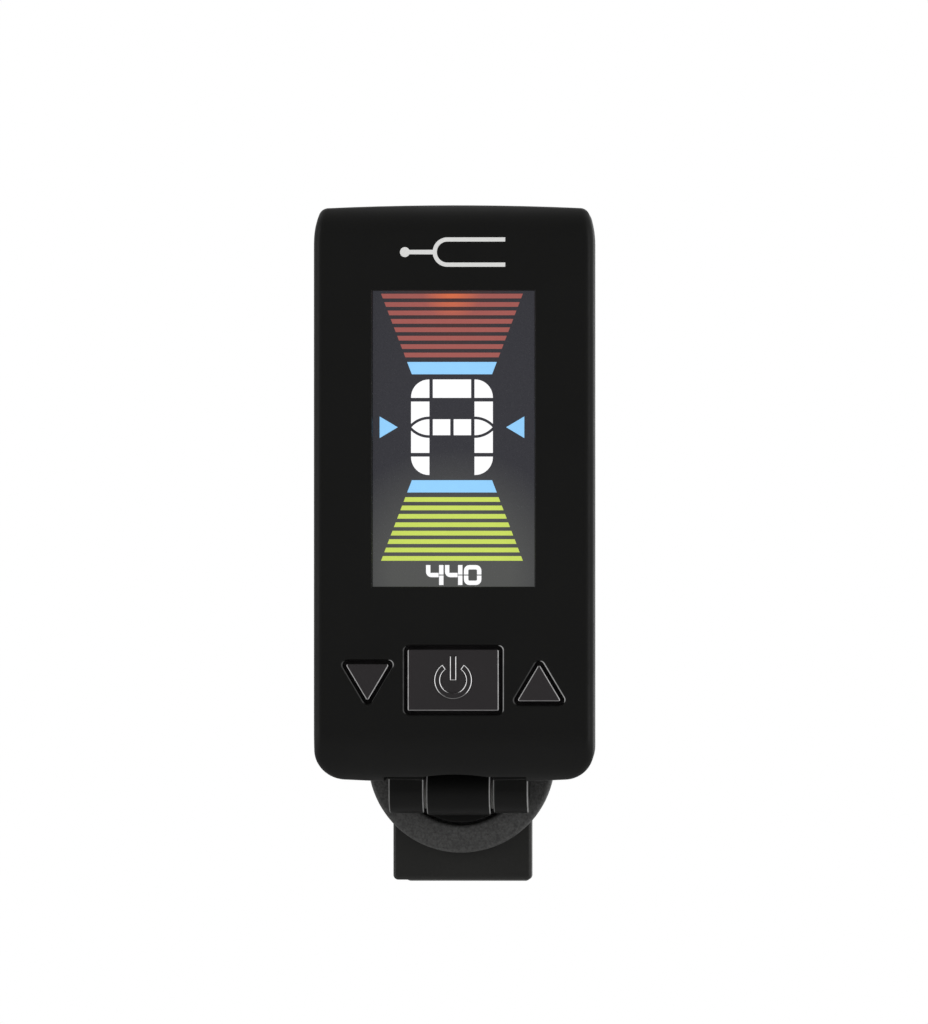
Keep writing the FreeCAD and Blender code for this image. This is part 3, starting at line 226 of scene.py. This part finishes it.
def pitch_figures():
    """The figures 440 along the window's lower edge."""
    first, pitch = -2.6, 1.9
    clearance = 0.16
    low = (WINDOW_BOTTOM - WINDOW_MID) / MM - PICTURE_Z + clearance
    figures = []
    for k, figure in enumerate("440"):
        figures += digit(figure, first + pitch * k, low)
    return figures


def show(name, outlines):
    """Lay outlines, in millimetres about the picture's middle, on the display glass."""
    placed = [[((x + PICTURE_X) * MM, WINDOW_MID + (z + PICTURE_Z) * MM) for x, z in outline]
              for outline in outlines]
    mesh = prisms(name, placed, GLASS_FRONT - 0.03 * MM, GLASS_FRONT - 0.005 * MM)
    piece = add_object(name, mesh)
    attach(piece, "head")
    return piece


def build_display():
    bars = funnel_bars()
    band = funnel(FUNNEL_START, FUNNEL_START + BAND_HEIGHT)
    pointer = [(-7.25, 1.08), (-7.25, -1.08), (-5.43, 0)]
    return {
        "red_bars": show("display_red_bars", bars),
        "green_bars": show("display_green_bars", [mirror_z(bar) for bar in bars]),
        "blue_bands": show("display_blue_bands", [band, mirror_z(band)]),
        "pointers": show("display_pointers", [pointer, mirror_x(pointer)]),
        "note": show("display_note", note_segments()),
        "pitch": show("display_pitch", pitch_figures()),
    }


# ---- Printed mark: a tuning fork lying on its side ---------------------------------------------------------

def build_mark():
    """One outline: the stem's ball, the stem, the yoke and two tines."""
    above_edge = 52.95
    tine = 0.42
    spread = 1.05
    yoke_x = -0.6
    tip_x = 5.2
    stem_x, stem_half = -4.4, 0.22
    ball_x, ball = -4.85, 0.5
    outline = [(tip_x, spread), (tip_x, spread + tine)]
    outline += arc((yoke_x, 0), spread + tine, 90, 171, 12)
    outline += [(stem_x, stem_half)]
    outline += arc((ball_x, 0), ball, 26, 334, 20)
    outline += [(stem_x, -stem_half)]
    outline += arc((yoke_x, 0), spread + tine, 189, 270, 12)
    outline += [(tip_x, -spread - tine), (tip_x, -spread)]
    outline += arc((yoke_x, 0), spread, 270, 90, 24)
    placed = [(x * MM, face_low.z + (above_edge + z) * MM) for x, z in outline]
    mesh = prisms("tuning_fork_mark", [placed], HEAD_FACE - 0.02 * MM, HEAD_FACE + 0.01 * MM)
    piece = add_object("tuning_fork_mark", mesh)
    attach(piece, "head")
    return piece


# ---- Rubber pads: a crowned block with grip ridges ---------------------------------------------------------

PAD_EDGE = 0.35


def fall_away(to_end, radius):
    """How far a rounded edge has dropped at this distance from its end."""
    share = min(1, max(0, to_end / radius))
    return radius * (1 - math.sqrt(1 - (1 - share) ** 2))


def pad_section(half, thick, groove):
    """A pad's cross-section: rounded upper edges, a plain rim at each side and the groove between them."""
    rim = 1.1
    slope = 0.3
    section = [(-half, 0.0)]
    section += arc((-half + PAD_EDGE, thick - PAD_EDGE), PAD_EDGE, 180, 90, 5)
    section += [(-half + rim, thick), (-half + rim + slope, thick - groove)]
    section += [(half - rim - slope, thick - groove), (half - rim, thick)]
    section += arc((half - PAD_EDGE, thick - PAD_EDGE), PAD_EDGE, 90, 0, 5)
    section += [(half, 0.0)]
    return section


def build_pad(name, node, body, place, height, half_width, thick_low, thick_high):
    """A pad lofted from rings along its height; place maps (x, out, up), in millimetres, to the frame."""
    rings = 120
    corner = 0.8
    plain_end = 0.9
    fade = 0.4
    ridge_pitch = 1.0
    ridge_depth = 0.22
    flat_ridge = 0.6
    shape = bmesh.new()
    loops = []
    for k in range(rings + 1):
        up = height * k / rings
        to_end = min(up, height - up)
        half = half_width - fall_away(to_end, corner)
        thick = thick_low + (thick_high - thick_low) * up / height - fall_away(to_end, PAD_EDGE)
        ridged = min(1, max(0, (to_end - plain_end) / fade))
        wave = 0.5 - 0.5 * math.cos(2 * math.pi * up / ridge_pitch)
        section = pad_section(half, thick, ridge_depth * ridged * wave ** flat_ridge)
        loops.append([shape.verts.new(place(x, out, up)) for x, out in section])
    skin(shape, loops)
    piece = add_object(name, finish_mesh(name, shape, smooth=True))
    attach(piece, body)
    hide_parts(node)
    return piece


def build_front_pad():
    low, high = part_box("front_jaw_pad")
    width, thick, height = (high - low) / MM

    def on_jaw(x, out, up):
        return (x * MM, low.y + out * MM, low.z + up * MM)

    return build_pad("front_grip_pad", "front_jaw_pad", "clip_base", on_jaw, height, width / 2, thick, thick)


def build_rear_pad():
    """The rear pad leans with its jaw and is wedged, so that the closed pads lie together."""
    lean = Matrix.Rotation(math.radians(-8), 4, "X")
    seat_depth = 3.2
    foot = -28.0
    height = 13.0
    thick_foot, thick_top = 2.85, 1.02
    low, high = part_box("rear_jaw_pad")
    half = (high.x - low.x) / 2 / MM

    def on_jaw(x, out, up):
        return CLIP_PIVOT + lean @ (Vector((x, seat_depth - out, foot + up)) * MM)

    return build_pad("rear_grip_pad", "rear_jaw_pad", "clip_lever", on_jaw, height, half,
                     thick_foot, thick_top)


# ---- Torsion spring ----------------------------------------------------------------------------------------

def tube(path, radius, sides=14):
    """A closed round tube along a list of points."""
    shape = bmesh.new()
    rings = []
    turns = [2 * math.pi * side / sides for side in range(sides)]
    for k, point in enumerate(path):
        ahead = (path[min(k + 1, len(path) - 1)] - path[max(k - 1, 0)]).normalized()
        across = (Vector((1, 0, 0)) - ahead * ahead.x).normalized()
        over = ahead.cross(across)
        ring = [point + (across * math.cos(turn) + over * math.sin(turn)) * radius for turn in turns]
        rings.append([shape.verts.new(place) for place in ring])
    skin(shape, rings)
    return shape


def build_spring():
    """The clip's spring: a leg on each handle and a coil between them, which winds as the clip opens."""
    coil = 2.0 * MM
    wire = 0.4 * MM
    half = 1.9 * MM
    leg = 11.9 * MM
    whole_turns = 4
    front_lean, rear_lean = 25.3, 20.3
    start = math.radians(180 + front_lean)
    sweep = math.radians(whole_turns * 360 + 180 - front_lean - rear_lean)
    end = start + sweep
    rise = 2 * half / sweep

    def on_coil(angle):
        along = -half + rise * (angle - start)
        return CLIP_PIVOT + Vector((along, coil * math.cos(angle), coil * math.sin(angle)))

    def heading(angle):
        return Vector((rise, -coil * math.sin(angle), coil * math.cos(angle))).normalized()

    coil_steps = 240
    leg_steps = 16
    points = [on_coil(start) - heading(start) * leg * (1 - k / leg_steps) for k in range(leg_steps)]
    points += [on_coil(start + sweep * k / coil_steps) for k in range(coil_steps + 1)]
    points += [on_coil(end) + heading(end) * leg * (k + 1) / leg_steps for k in range(leg_steps)]
    mesh = finish_mesh("spring_wire", tube(points, wire), smooth=True)
    piece = add_object("spring_wire", mesh)
    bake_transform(piece)
    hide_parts("torsion_spring")
    return piece


# ---- Materials ---------------------------------------------------------------------------------------------

def srgb(red, green, blue):
    """Linear colour from 0 to 255 screen values."""
    def linear(value):
        value /= 255
        return value / 12.92 if value <= 0.04045 else ((value + 0.055) / 1.055) ** 2.4
    return (linear(red), linear(green), linear(blue), 1.0)


def shade(colour, factor):
    """The colour made this many times as bright."""
    return tuple(c * factor for c in colour[:3]) + (1,)


class Surface:
    """A Principled material, built up from noise in the part's own coordinates.

    Where a method takes a value, that is a number, a vector, a colour or another node's output.
    """

    # A Mix node's colour sockets come after those for its other kinds of data.
    MIX_FROM, MIX_TO, MIX_RESULT = 6, 7, 2

    def __init__(self, name, colour, rough, metallic=0.0):
        self.material = bpy.data.materials.new(name)
        self.material.use_nodes = True
        self.nodes = self.material.node_tree.nodes
        self.shader = self.nodes["Principled BSDF"]
        self.colour = colour
        self.rough = rough
        self.normal = None
        self.set("Base Color", colour)
        self.set("Roughness", rough)
        self.set("Metallic", metallic)
        self.place = self.add("ShaderNodeTexCoord").outputs["Object"]

    def add(self, kind, **values):
        node = self.nodes.new(kind)
        for key, value in values.items():
            setattr(node, key, value)
        return node

    def join(self, value, socket):
        """Feed a socket from another node's output, or give it a fixed value."""
        if hasattr(value, "is_linked"):
            self.material.node_tree.links.new(value, socket)
        else:
            socket.default_value = value

    def set(self, name, value):
        """Feed one of the shader's own sockets."""
        self.join(value, self.shader.inputs[name])

    def compute(self, operation, first, second=0.0):
        """Arithmetic on numbers."""
        node = self.add("ShaderNodeMath", operation=operation)
        self.join(first, node.inputs[0])
        self.join(second, node.inputs[1])
        return node.outputs[0]

    def measure(self, operation, first, second):
        """The DOT_PRODUCT or DISTANCE of two vectors."""
        node = self.add("ShaderNodeVectorMath", operation=operation)
        self.join(first, node.inputs[0])
        self.join(second, node.inputs[1])
        return node.outputs["Value"]

    def times(self, first, second):
        return self.compute("MULTIPLY", first, second)

    def remap(self, value, low, high, from_low=0.3, from_high=0.7):
        """Run from low to high as the value runs from from_low to from_high, and no further."""
        node = self.add("ShaderNodeMapRange")
        ends = (("From Min", from_low), ("From Max", from_high), ("To Min", low), ("To Max", high))
        for name, end in ends:
            node.inputs[name].default_value = end
        self.join(value, node.inputs["Value"])
        return node.outputs["Result"]

    def mix(self, factor, first, second):
        """A colour so far on the way from the first to the second."""
        node = self.add("ShaderNodeMix", data_type="RGBA")
        self.join(factor, node.inputs["Factor"])
        self.join(first, node.inputs[self.MIX_FROM])
        self.join(second, node.inputs[self.MIX_TO])
        return node.outputs[self.MIX_RESULT]

    def noise(self, size, detail=3.0, stretch=(1, 1, 1)):
        """Noise with features of this size in metres."""
        scale = self.add("ShaderNodeVectorMath", operation="MULTIPLY")
        self.join(self.place, scale.inputs[0])
        self.join(stretch, scale.inputs[1])
        texture = self.add("ShaderNodeTexNoise")
        texture.inputs["Scale"].default_value = 1 / size
        texture.inputs["Detail"].default_value = detail
        self.join(scale.outputs[0], texture.inputs["Vector"])
        return texture.outputs["Fac"]

    def patches(self, low, high, size, detail=3.0):
        """Soft patches of this size, between low and high."""
        return self.remap(self.noise(size, detail), low, high)

    def tint(self, factor, colour):
        """Mix the colour so far towards another by a factor."""
        self.colour = self.mix(factor, self.colour, colour)
        self.set("Base Color", self.colour)

    def roughen(self, factor, amount):
        """Add amount times the factor to the roughness."""
        node = self.add("ShaderNodeMath", operation="MULTIPLY_ADD", use_clamp=True)
        self.join(factor, node.inputs[0])
        self.join(amount, node.inputs[1])
        self.join(self.rough, node.inputs[2])
        self.rough = node.outputs[0]
        self.set("Roughness", self.rough)

    def cloud(self, amount, size, detail=3.0):
        """Vary the roughness by this amount in all, in patches of this size."""
        self.roughen(self.patches(-0.5, 0.5, size, detail), amount)

    def bump(self, height, depth):
        """Relief of this depth, in metres."""
        node = self.add("ShaderNodeBump")
        node.inputs["Distance"].default_value = depth
        node.inputs["Strength"].default_value = 1.0
        self.join(height, node.inputs["Height"])
        if self.normal is not None:
            self.join(self.normal, node.inputs["Normal"])
        self.normal = node.outputs["Normal"]
        self.set("Normal", self.normal)

    def glow(self, colour, strength):
        """Light of its own."""
        self.set("Emission Color", colour)
        self.set("Emission Strength", strength)

    def within(self, middle, half_width, half_height):
        """1 in a box round the middle, across and up the part, and 0 outside it."""
        levels = []
        fade = 0.2 * MM
        for axis, reach in ((0, half_width), (2, half_height)):
            unit = [float(k == axis) for k in range(3)]
            offset = self.compute("SUBTRACT", self.measure("DOT_PRODUCT", self.place, unit), middle[axis])
            levels.append(self.remap(self.compute("ABSOLUTE", offset), 1.0, 0.0, reach, reach + fade))
        return self.times(*levels)

    def paint_rim_highlights(self, colour, towards, inside=None, strength=0.25, span=(0.25, 0.6)):
        """Paint highlights on rounded rims that look towards these directions, each with its share.

        A rim fades in over the span as it turns towards a direction. Sides that look away from the player
        stay plain, and so does what is outside a mask.
        """
        normal = self.add("ShaderNodeTexCoord").outputs["Normal"]
        split = self.add("ShaderNodeSeparateXYZ")
        self.join(normal, split.inputs[0])
        rounded = self.remap(split.outputs["Y"], 1.0, 0.0, -0.3, -0.05)
        levels = [self.remap(self.measure("DOT_PRODUCT", normal, direction), 0.0, share, *span)
                  for direction, share in towards]
        level = levels[0]
        for other in levels[1:]:
            level = self.compute("MAXIMUM", level, other)
        if inside is not None:
            level = self.times(level, inside)
        level = self.times(self.times(level, rounded), self.patches(0.7, 1.0, 0.7 * MM))
        # Painted highlight: the rims get a lighter colour and a glow.
        self.tint(level, colour)
        self.glow(level, strength)

    def soften_edges(self, radius, wear_and_sheen_colour, amount):
        """Round sharp edges in the shading and paint them a little lighter and smoother: partly rubbed wear,
        partly a painted highlight.
        """
        bevel = self.add("ShaderNodeBevel", samples=4)
        bevel.inputs["Radius"].default_value = radius
        self.normal = bevel.outputs["Normal"]
        self.set("Normal", self.normal)
        flat = self.add("ShaderNodeNewGeometry").outputs["True Normal"]
        edge = self.remap(self.measure("DOT_PRODUCT", self.normal, flat), amount, 0.0, 0.8, 0.995)
        patchy = self.times(edge, self.patches(0.35, 1.0, 0.9 * MM))
        # Lighter edges: partly rubbed wear, partly a painted highlight.
        self.tint(patchy, wear_and_sheen_colour)
        self.roughen(patchy, -0.15)


def moulded_surface(name, colour, rough, grain=0.12 * MM, relief=0.004 * MM, edge=0.12 * MM, wear_and_sheen=None,
                    shine=0.5, mottle=0.0):
    """Moulded plastic: fine spark-eroded grain, cloudy sheen, and edges painted lighter, partly rubbed wear
    and partly a painted highlight.
    """
    surface = Surface(name, colour, rough)
    surface.set("Specular IOR Level", shine)
    # Edge colour: rubbed wear and a painted highlight.
    surface.soften_edges(edge, wear_and_sheen or shade(colour, 2.2), 0.7)
    if mottle:
        surface.tint(surface.patches(0.0, mottle, 1.5 * grain, 4), shade(colour, 2.5))
    surface.tint(surface.patches(0.0, 0.35, 6 * MM), shade(colour, 0.75))
    surface.cloud(0.08, 3 * MM, 4)
    surface.cloud(0.06, grain)
    surface.bump(surface.noise(grain, 2), relief)
    return surface


def moulded(*args, **options):
    return moulded_surface(*args, **options).material


def casing_material():
    """The casing, with painted highlights on the rims of its button openings, on one side."""
    surface = moulded_surface("casing_black", srgb(37, 37, 36), 0.45, edge=0.08 * MM, wear_and_sheen=srgb(60, 60, 58),
                              shine=0.25)
    openings = surface.within(middle_of("power_button", "front_shell"), 12.4 * MM, 4.6 * MM)
    sides = (((-0.9, 0, -0.44), 1.0), ((1, 0, 0), 0.2))
    # Painted highlight on one side of the opening rims.
    surface.paint_rim_highlights(srgb(190, 190, 188), sides, openings, span=(0.45, 0.7))
    return surface.material


def knuckle_material(name, colour, node):
    """Black plastic with painted highlights on the rims of the hinge's knuckles, at both sides."""
    surface = moulded_surface(name, colour, 0.45, wear_and_sheen=srgb(120, 120, 118), shine=0.25)
    knuckles = surface.within(middle_of("tilt_pin", node), 8 * MM, 2.2 * MM)
    sides = (((1, 0, 0), 1.0), ((-1, 0, 0), 0.6))
    # Painted highlight on the knuckle rims.
    surface.paint_rim_highlights(srgb(170, 170, 168), sides, knuckles, strength=0.15)
    return surface.material


def button_material():
    """Grey plastic with painted highlights on its small rounded rims, strongest on the power symbol's upper
    part.
    """
    surface = moulded_surface("button_grey", srgb(68, 64, 66), 0.55, grain=0.1 * MM, relief=0.006 * MM,
                              edge=0.05 * MM, wear_and_sheen=srgb(140, 138, 138))
    upper_part = middle_of("power_button", "power_button") + Vector((0, 0, 0.7 * MM))
    symbol = surface.within(upper_part, 2.6 * MM, 1.9 * MM)
    sides = (((-1, 0, 0), 1.0), ((1, 0, 0), 1.0), ((0, 0, -1), 0.4))
    # Painted highlight: the rims glow, most of all on the symbol's upper part.
    surface.paint_rim_highlights(srgb(225, 223, 223), sides, strength=surface.remap(symbol, 0.22, 1.0, 0.0, 1.0))
    return surface.material


def rubber(name, colour):
    """Soft rubber: dull, dusty and faintly pitted."""
    surface = Surface(name, colour, 0.75)
    surface.tint(surface.patches(0.0, 0.5, 1.5 * MM, 5), shade(colour, 1.8))
    surface.cloud(0.12, 0.8 * MM)
    surface.bump(surface.noise(0.15 * MM, 4), 0.012 * MM)
    return surface.material


def metal(name, colour, rough, stretch=(1, 1, 1)):
    """Plain metal with drawn or brushed streaks."""
    surface = Surface(name, colour, rough, metallic=1.0)
    polish_and_sheen = tuple(min(1, c) for c in shade(colour, 1.3))
    # Lighter edges: polish wear and a painted highlight.
    surface.soften_edges(0.05 * MM, polish_and_sheen, 0.6)
    surface.tint(surface.patches(0.0, 0.25, 1.2 * MM, 4), shade(colour, 0.6))
    streaks = surface.noise(0.12 * MM, 3, stretch)
    surface.roughen(surface.remap(streaks, -0.5, 0.5), 0.2)
    surface.bump(streaks, 0.003 * MM)
    return surface.material


def laminate(name):
    """Circuit board: green mask over a woven core with a faint copper pattern."""
    surface = Surface(name, srgb(22, 78, 44), 0.32)
    traces = surface.remap(surface.noise(1.4 * MM, 0, (1, 1, 4)), 0.0, 1.0, 0.49, 0.51)
    surface.tint(traces, srgb(34, 104, 58))
    surface.bump(traces, 0.02 * MM)
    surface.cloud(0.12, 0.3 * MM)
    return surface.material


def lit(name, colour, hot=None, hot_at=None, hot_size=3.0 * MM):
    """A display segment lit from behind, a little uneven, with an optional hot spot."""
    surface = Surface(name, shade(colour, 0.3), 0.4)
    surface.cloud(0.1, 0.5 * MM)
    light = surface.mix(surface.patches(0.0, 0.12, 2.5 * MM, 2), colour, shade(colour, 0.7))
    if hot:
        away = surface.measure("DISTANCE", surface.place, hot_at)
        light = surface.mix(surface.remap(away, 1.0, 0.0, 0.0, hot_size), light, hot)
    surface.glow(light, 1.0)
    return surface.material


def panel_material():
    """The display's dark field: bluish grey, grainy, with a little of the bars' colour round them."""
    surface = Surface("display_field", srgb(20, 20, 22), 0.3)
    surface.cloud(0.1, 0.4 * MM)
    light = surface.mix(surface.patches(0.0, 0.55, 0.16 * MM, 2), srgb(51, 51, 56), srgb(59, 59, 64))
    spills = (
        (srgb(82, 50, 46), PICTURE_Z + 12, 0.0, 6.5 * MM),
        (srgb(90, 91, 88), PICTURE_Z - 15, 6 * MM, 13 * MM),
    )
    for colour, above_middle, full, reach in spills:
        centre = (PICTURE_X * MM, GLASS_FRONT, WINDOW_MID + above_middle * MM)
        away = surface.measure("DISTANCE", surface.place, centre)
        light = surface.mix(surface.remap(away, 0.8, 0.0, full, reach), light, colour)
    surface.glow(light, 1.0)
    return surface.material


def clear_lens():
    """Thin clear acrylic: what is behind shows through, under a faint reflection with wiping marks."""
    surface = Surface("clear_lens", (0.9, 0.9, 0.92, 1), 0.08)
    smears = surface.remap(surface.noise(2 * MM, 5, (1, 1, 0.3)), 0.0, 1.0, 0.35, 0.65)
    surface.roughen(smears, 0.07)
    surface.tint(surface.remap(smears, 0.0, 0.1), (0.8, 0.82, 0.85, 1))
    through = surface.add("ShaderNodeBsdfTransparent")
    through.inputs["Color"].default_value = (0.985, 0.985, 0.99, 1)
    mirror = surface.add("ShaderNodeBsdfGlossy")
    surface.join(surface.rough, mirror.inputs["Roughness"])
    fresnel = surface.add("ShaderNodeFresnel")
    fresnel.inputs["IOR"].default_value = 1.3
    leaving = surface.add("ShaderNodeNewGeometry").outputs["Backfacing"]
    entering = surface.remap(leaving, 1.0, 0.0, 0.0, 1.0)
    both = surface.add("ShaderNodeMixShader")
    surface.join(surface.times(entering, fresnel.outputs[0]), both.inputs[0])
    surface.join(through.outputs[0], both.inputs[1])
    surface.join(mirror.outputs[0], both.inputs[2])
    surface.join(both.outputs[0], surface.nodes["Material Output"].inputs["Surface"])
    return surface.material


def print_material():
    """White printing ink, with a painted glow so that it reads as in bright light."""
    surface = moulded_surface("print_white", srgb(235, 235, 233), 0.5, relief=0.002 * MM, edge=0.02 * MM,
                              wear_and_sheen=srgb(200, 200, 198))
    # Painted light: the ink glows.
    surface.glow(srgb(235, 235, 233), 0.5)
    return surface.material


# ---- Which piece gets which material -----------------------------------------------------------------------

def dress(material, *pieces):
    """Give pieces of the visual model this material."""
    for piece in pieces:
        piece.data.materials.clear()
        piece.data.materials.append(material)


def dress_nodes(material, *names):
    """Give every slot of the frame's nodes this material."""
    for name in names:
        node = frame["nodes"][name]
        if not node.material_slots:
            node.data.materials.append(material)
        for slot in node.material_slots:
            slot.material = material


def dress_head():
    dress_nodes(casing_material(), "front_shell")
    dress_nodes(knuckle_material("back_black", srgb(37, 37, 36), "rear_shell"), "rear_shell")
    dress_nodes(moulded("door_black", srgb(21, 21, 20), 0.45, grain=0.2 * MM), "battery_door")
    dress_nodes(button_material(), "power_button", "up_button", "down_button")
    dress_nodes(clear_lens(), "display_lens")
    dress_nodes(panel_material(), "lcd_panel")


def dress_inside():
    dress_nodes(moulded("frame_black", srgb(30, 30, 30), 0.5), "lcd_frame", "tact_switches",
                "controller_chip")
    dress_nodes(moulded("plunger_white", srgb(190, 190, 185), 0.5), "power_plunger", "up_plunger",
                "down_plunger", "tilt_washers")
    dress_nodes(moulded("light_guide", srgb(225, 226, 230), 0.3), "backlight_guide", "backlight_leds")
    dress_nodes(moulded("ceramic", srgb(205, 203, 190), 0.4), "piezo_ceramic", "board_components")
    dress_nodes(rubber("lead_red", srgb(150, 22, 20)), "piezo_leads")
    dress_nodes(rubber("elastomer", srgb(70, 70, 74)), "elastomer_connector")
    dress_nodes(laminate("board_green"), "main_board")
    dress_nodes(metal("brass", srgb(200, 160, 90), 0.35), "piezo_plate", "battery_contact_positive",
                "battery_contact_negative")
    dress_nodes(metal("bright_steel", srgb(190, 190, 188), 0.3), "coin_cell", "crystal", "wave_washer")


def dress_hinge_and_clip(pads, spring):
    dress_nodes(knuckle_material("hinge_black", srgb(30, 30, 29), "swivel_plate"), "swivel_plate")
    ring = moulded("ring_black", srgb(84, 84, 83), 0.55, grain=0.14 * MM, relief=0.05 * MM, mottle=0.8)
    dress_nodes(ring, "swivel_housing")
    clip = moulded("clip_black", srgb(55, 55, 53), 0.42, grain=0.18 * MM, mottle=0.1)
    dress_nodes(clip, "clip_front_jaw", "clip_rear_jaw")
    dress_nodes(metal("black_screw", srgb(70, 70, 72), 0.35), "case_screws", "swivel_screw")
    dress_nodes(metal("pin_steel", srgb(165, 165, 165), 0.28, (0.05, 1, 1)), "tilt_pin", "clip_pin")
    dress(rubber("pad_rubber", srgb(40, 40, 41)), *pads)
    dress(metal("spring_steel", srgb(175, 175, 178), 0.25), spring)


def dress_display(graphics):
    hot_at = (PICTURE_X * MM, GLASS_FRONT, WINDOW_TOP)
    dress(lit("lit_red", srgb(160, 90, 84), srgb(222, 112, 68), hot_at), graphics["red_bars"])
    dress(lit("lit_green", srgb(200, 219, 97)), graphics["green_bars"])
    dress(lit("lit_blue", srgb(148, 208, 251)), graphics["blue_bands"], graphics["pointers"])
    dress(lit("lit_white", srgb(254, 254, 254)), graphics["note"], graphics["pitch"])


# ---- Stage, light and camera -------------------------------------------------------------------------------

def build_floor():
    """A pale floor, far enough below that the head clears it however it is turned."""
    drop = 90 * MM
    radius = 400 * MM
    shape = bmesh.new()
    bmesh.ops.create_circle(shape, cap_ends=True, radius=radius, segments=96)
    floor = bpy.data.objects.new("floor", finish_mesh("floor", shape))
    floor.location = (0, 0, -drop)
    bpy.context.scene.collection.objects.link(floor)
    surface = Surface("floor_pale", (0.6, 0.6, 0.6, 1), 0.6)
    seen = surface.add("ShaderNodeLightPath").outputs["Is Camera Ray"]
    surface.tint(seen, (0.88, 0.88, 0.88, 1))
    surface.glow(seen, 0.4)
    dress(surface.material, floor)


def build_world():
    """White to the camera; as light, dim on the player's side and bright beyond the part."""
    world = bpy.data.worlds.new("studio")
    bpy.context.scene.world = world
    world.use_nodes = True
    nodes = world.node_tree.nodes
    links = world.node_tree.links
    lighting = nodes["Background"]
    lighting.inputs["Color"].default_value = (1, 1, 1, 1)
    seen = nodes.new("ShaderNodeBackground")
    seen.inputs["Color"].default_value = (1, 1, 1, 1)
    split = nodes.new("ShaderNodeSeparateXYZ")
    links.new(nodes.new("ShaderNodeTexCoord").outputs["Generated"], split.inputs[0])
    ramp = nodes.new("ShaderNodeMapRange")
    ramp.interpolation_type = "SMOOTHSTEP"
    for key, value in (("From Min", -0.9), ("From Max", 0.6), ("To Min", 0.13), ("To Max", 0.63)):
        ramp.inputs[key].default_value = value
    links.new(split.outputs["Y"], ramp.inputs["Value"])
    links.new(ramp.outputs["Result"], lighting.inputs["Strength"])
    mix = nodes.new("ShaderNodeMixShader")
    links.new(nodes.new("ShaderNodeLightPath").outputs["Is Camera Ray"], mix.inputs[0])
    links.new(lighting.outputs[0], mix.inputs[1])
    links.new(seen.outputs[0], mix.inputs[2])
    links.new(mix.outputs[0], nodes["World Output"].inputs["Surface"])


def add_softbox(name, side):
    """A tall soft light beside the part, a little in front of it."""
    aside, ahead, height = 0.44, 0.25, 0.03
    light = bpy.data.lights.new(name, "AREA")
    light.shape = "RECTANGLE"
    light.size, light.size_y = 0.15, 0.5
    light.energy = 0.45
    lamp = bpy.data.objects.new(name, light)
    lamp.location = (side * aside, -ahead, height)
    lamp.rotation_mode = "QUATERNION"
    lamp.rotation_quaternion = Vector((-side * aside, ahead, 0)).to_track_quat("-Z", "Y")
    bpy.context.scene.collection.objects.link(lamp)


def build_camera():
    """Square on to the display, a little to its right, with a long lens."""
    azimuth = math.radians(3.3)
    distance = 3.0
    seen_height = 102.4 * MM
    aside, above = 1.07 * MM, -1.87 * MM
    camera = bpy.data.cameras.new("camera")
    camera.sensor_width = 36
    camera.lens = camera.sensor_width * distance / seen_height
    camera.clip_start = 0.01
    camera.clip_end = 10
    back = Vector((math.sin(azimuth), -math.cos(azimuth), 0))
    right = Vector((math.cos(azimuth), math.sin(azimuth), 0))
    face_middle = Vector((0, HEAD_FACE, (face_low.z + face_high.z) / 2))
    holder = bpy.data.objects.new("camera", camera)
    holder.location = face_middle + right * aside + Vector((0, 0, above)) + back * distance
    holder.rotation_mode = "QUATERNION"
    holder.rotation_quaternion = (-back).to_track_quat("-Z", "Y")
    bpy.context.scene.collection.objects.link(holder)
    bpy.context.scene.camera = holder


graphics = build_display()
mark = build_mark()
pads = (build_front_pad(), build_rear_pad())
spring = build_spring()
dress_head()
dress_inside()
dress_hinge_and_clip(pads, spring)
dress_display(graphics)
dress(print_material(), mark)
build_floor()
build_world()
add_softbox("left_softbox", -1)
add_softbox("right_softbox", 1)
build_camera()
bpy.context.scene.view_settings.view_transform = "Standard"
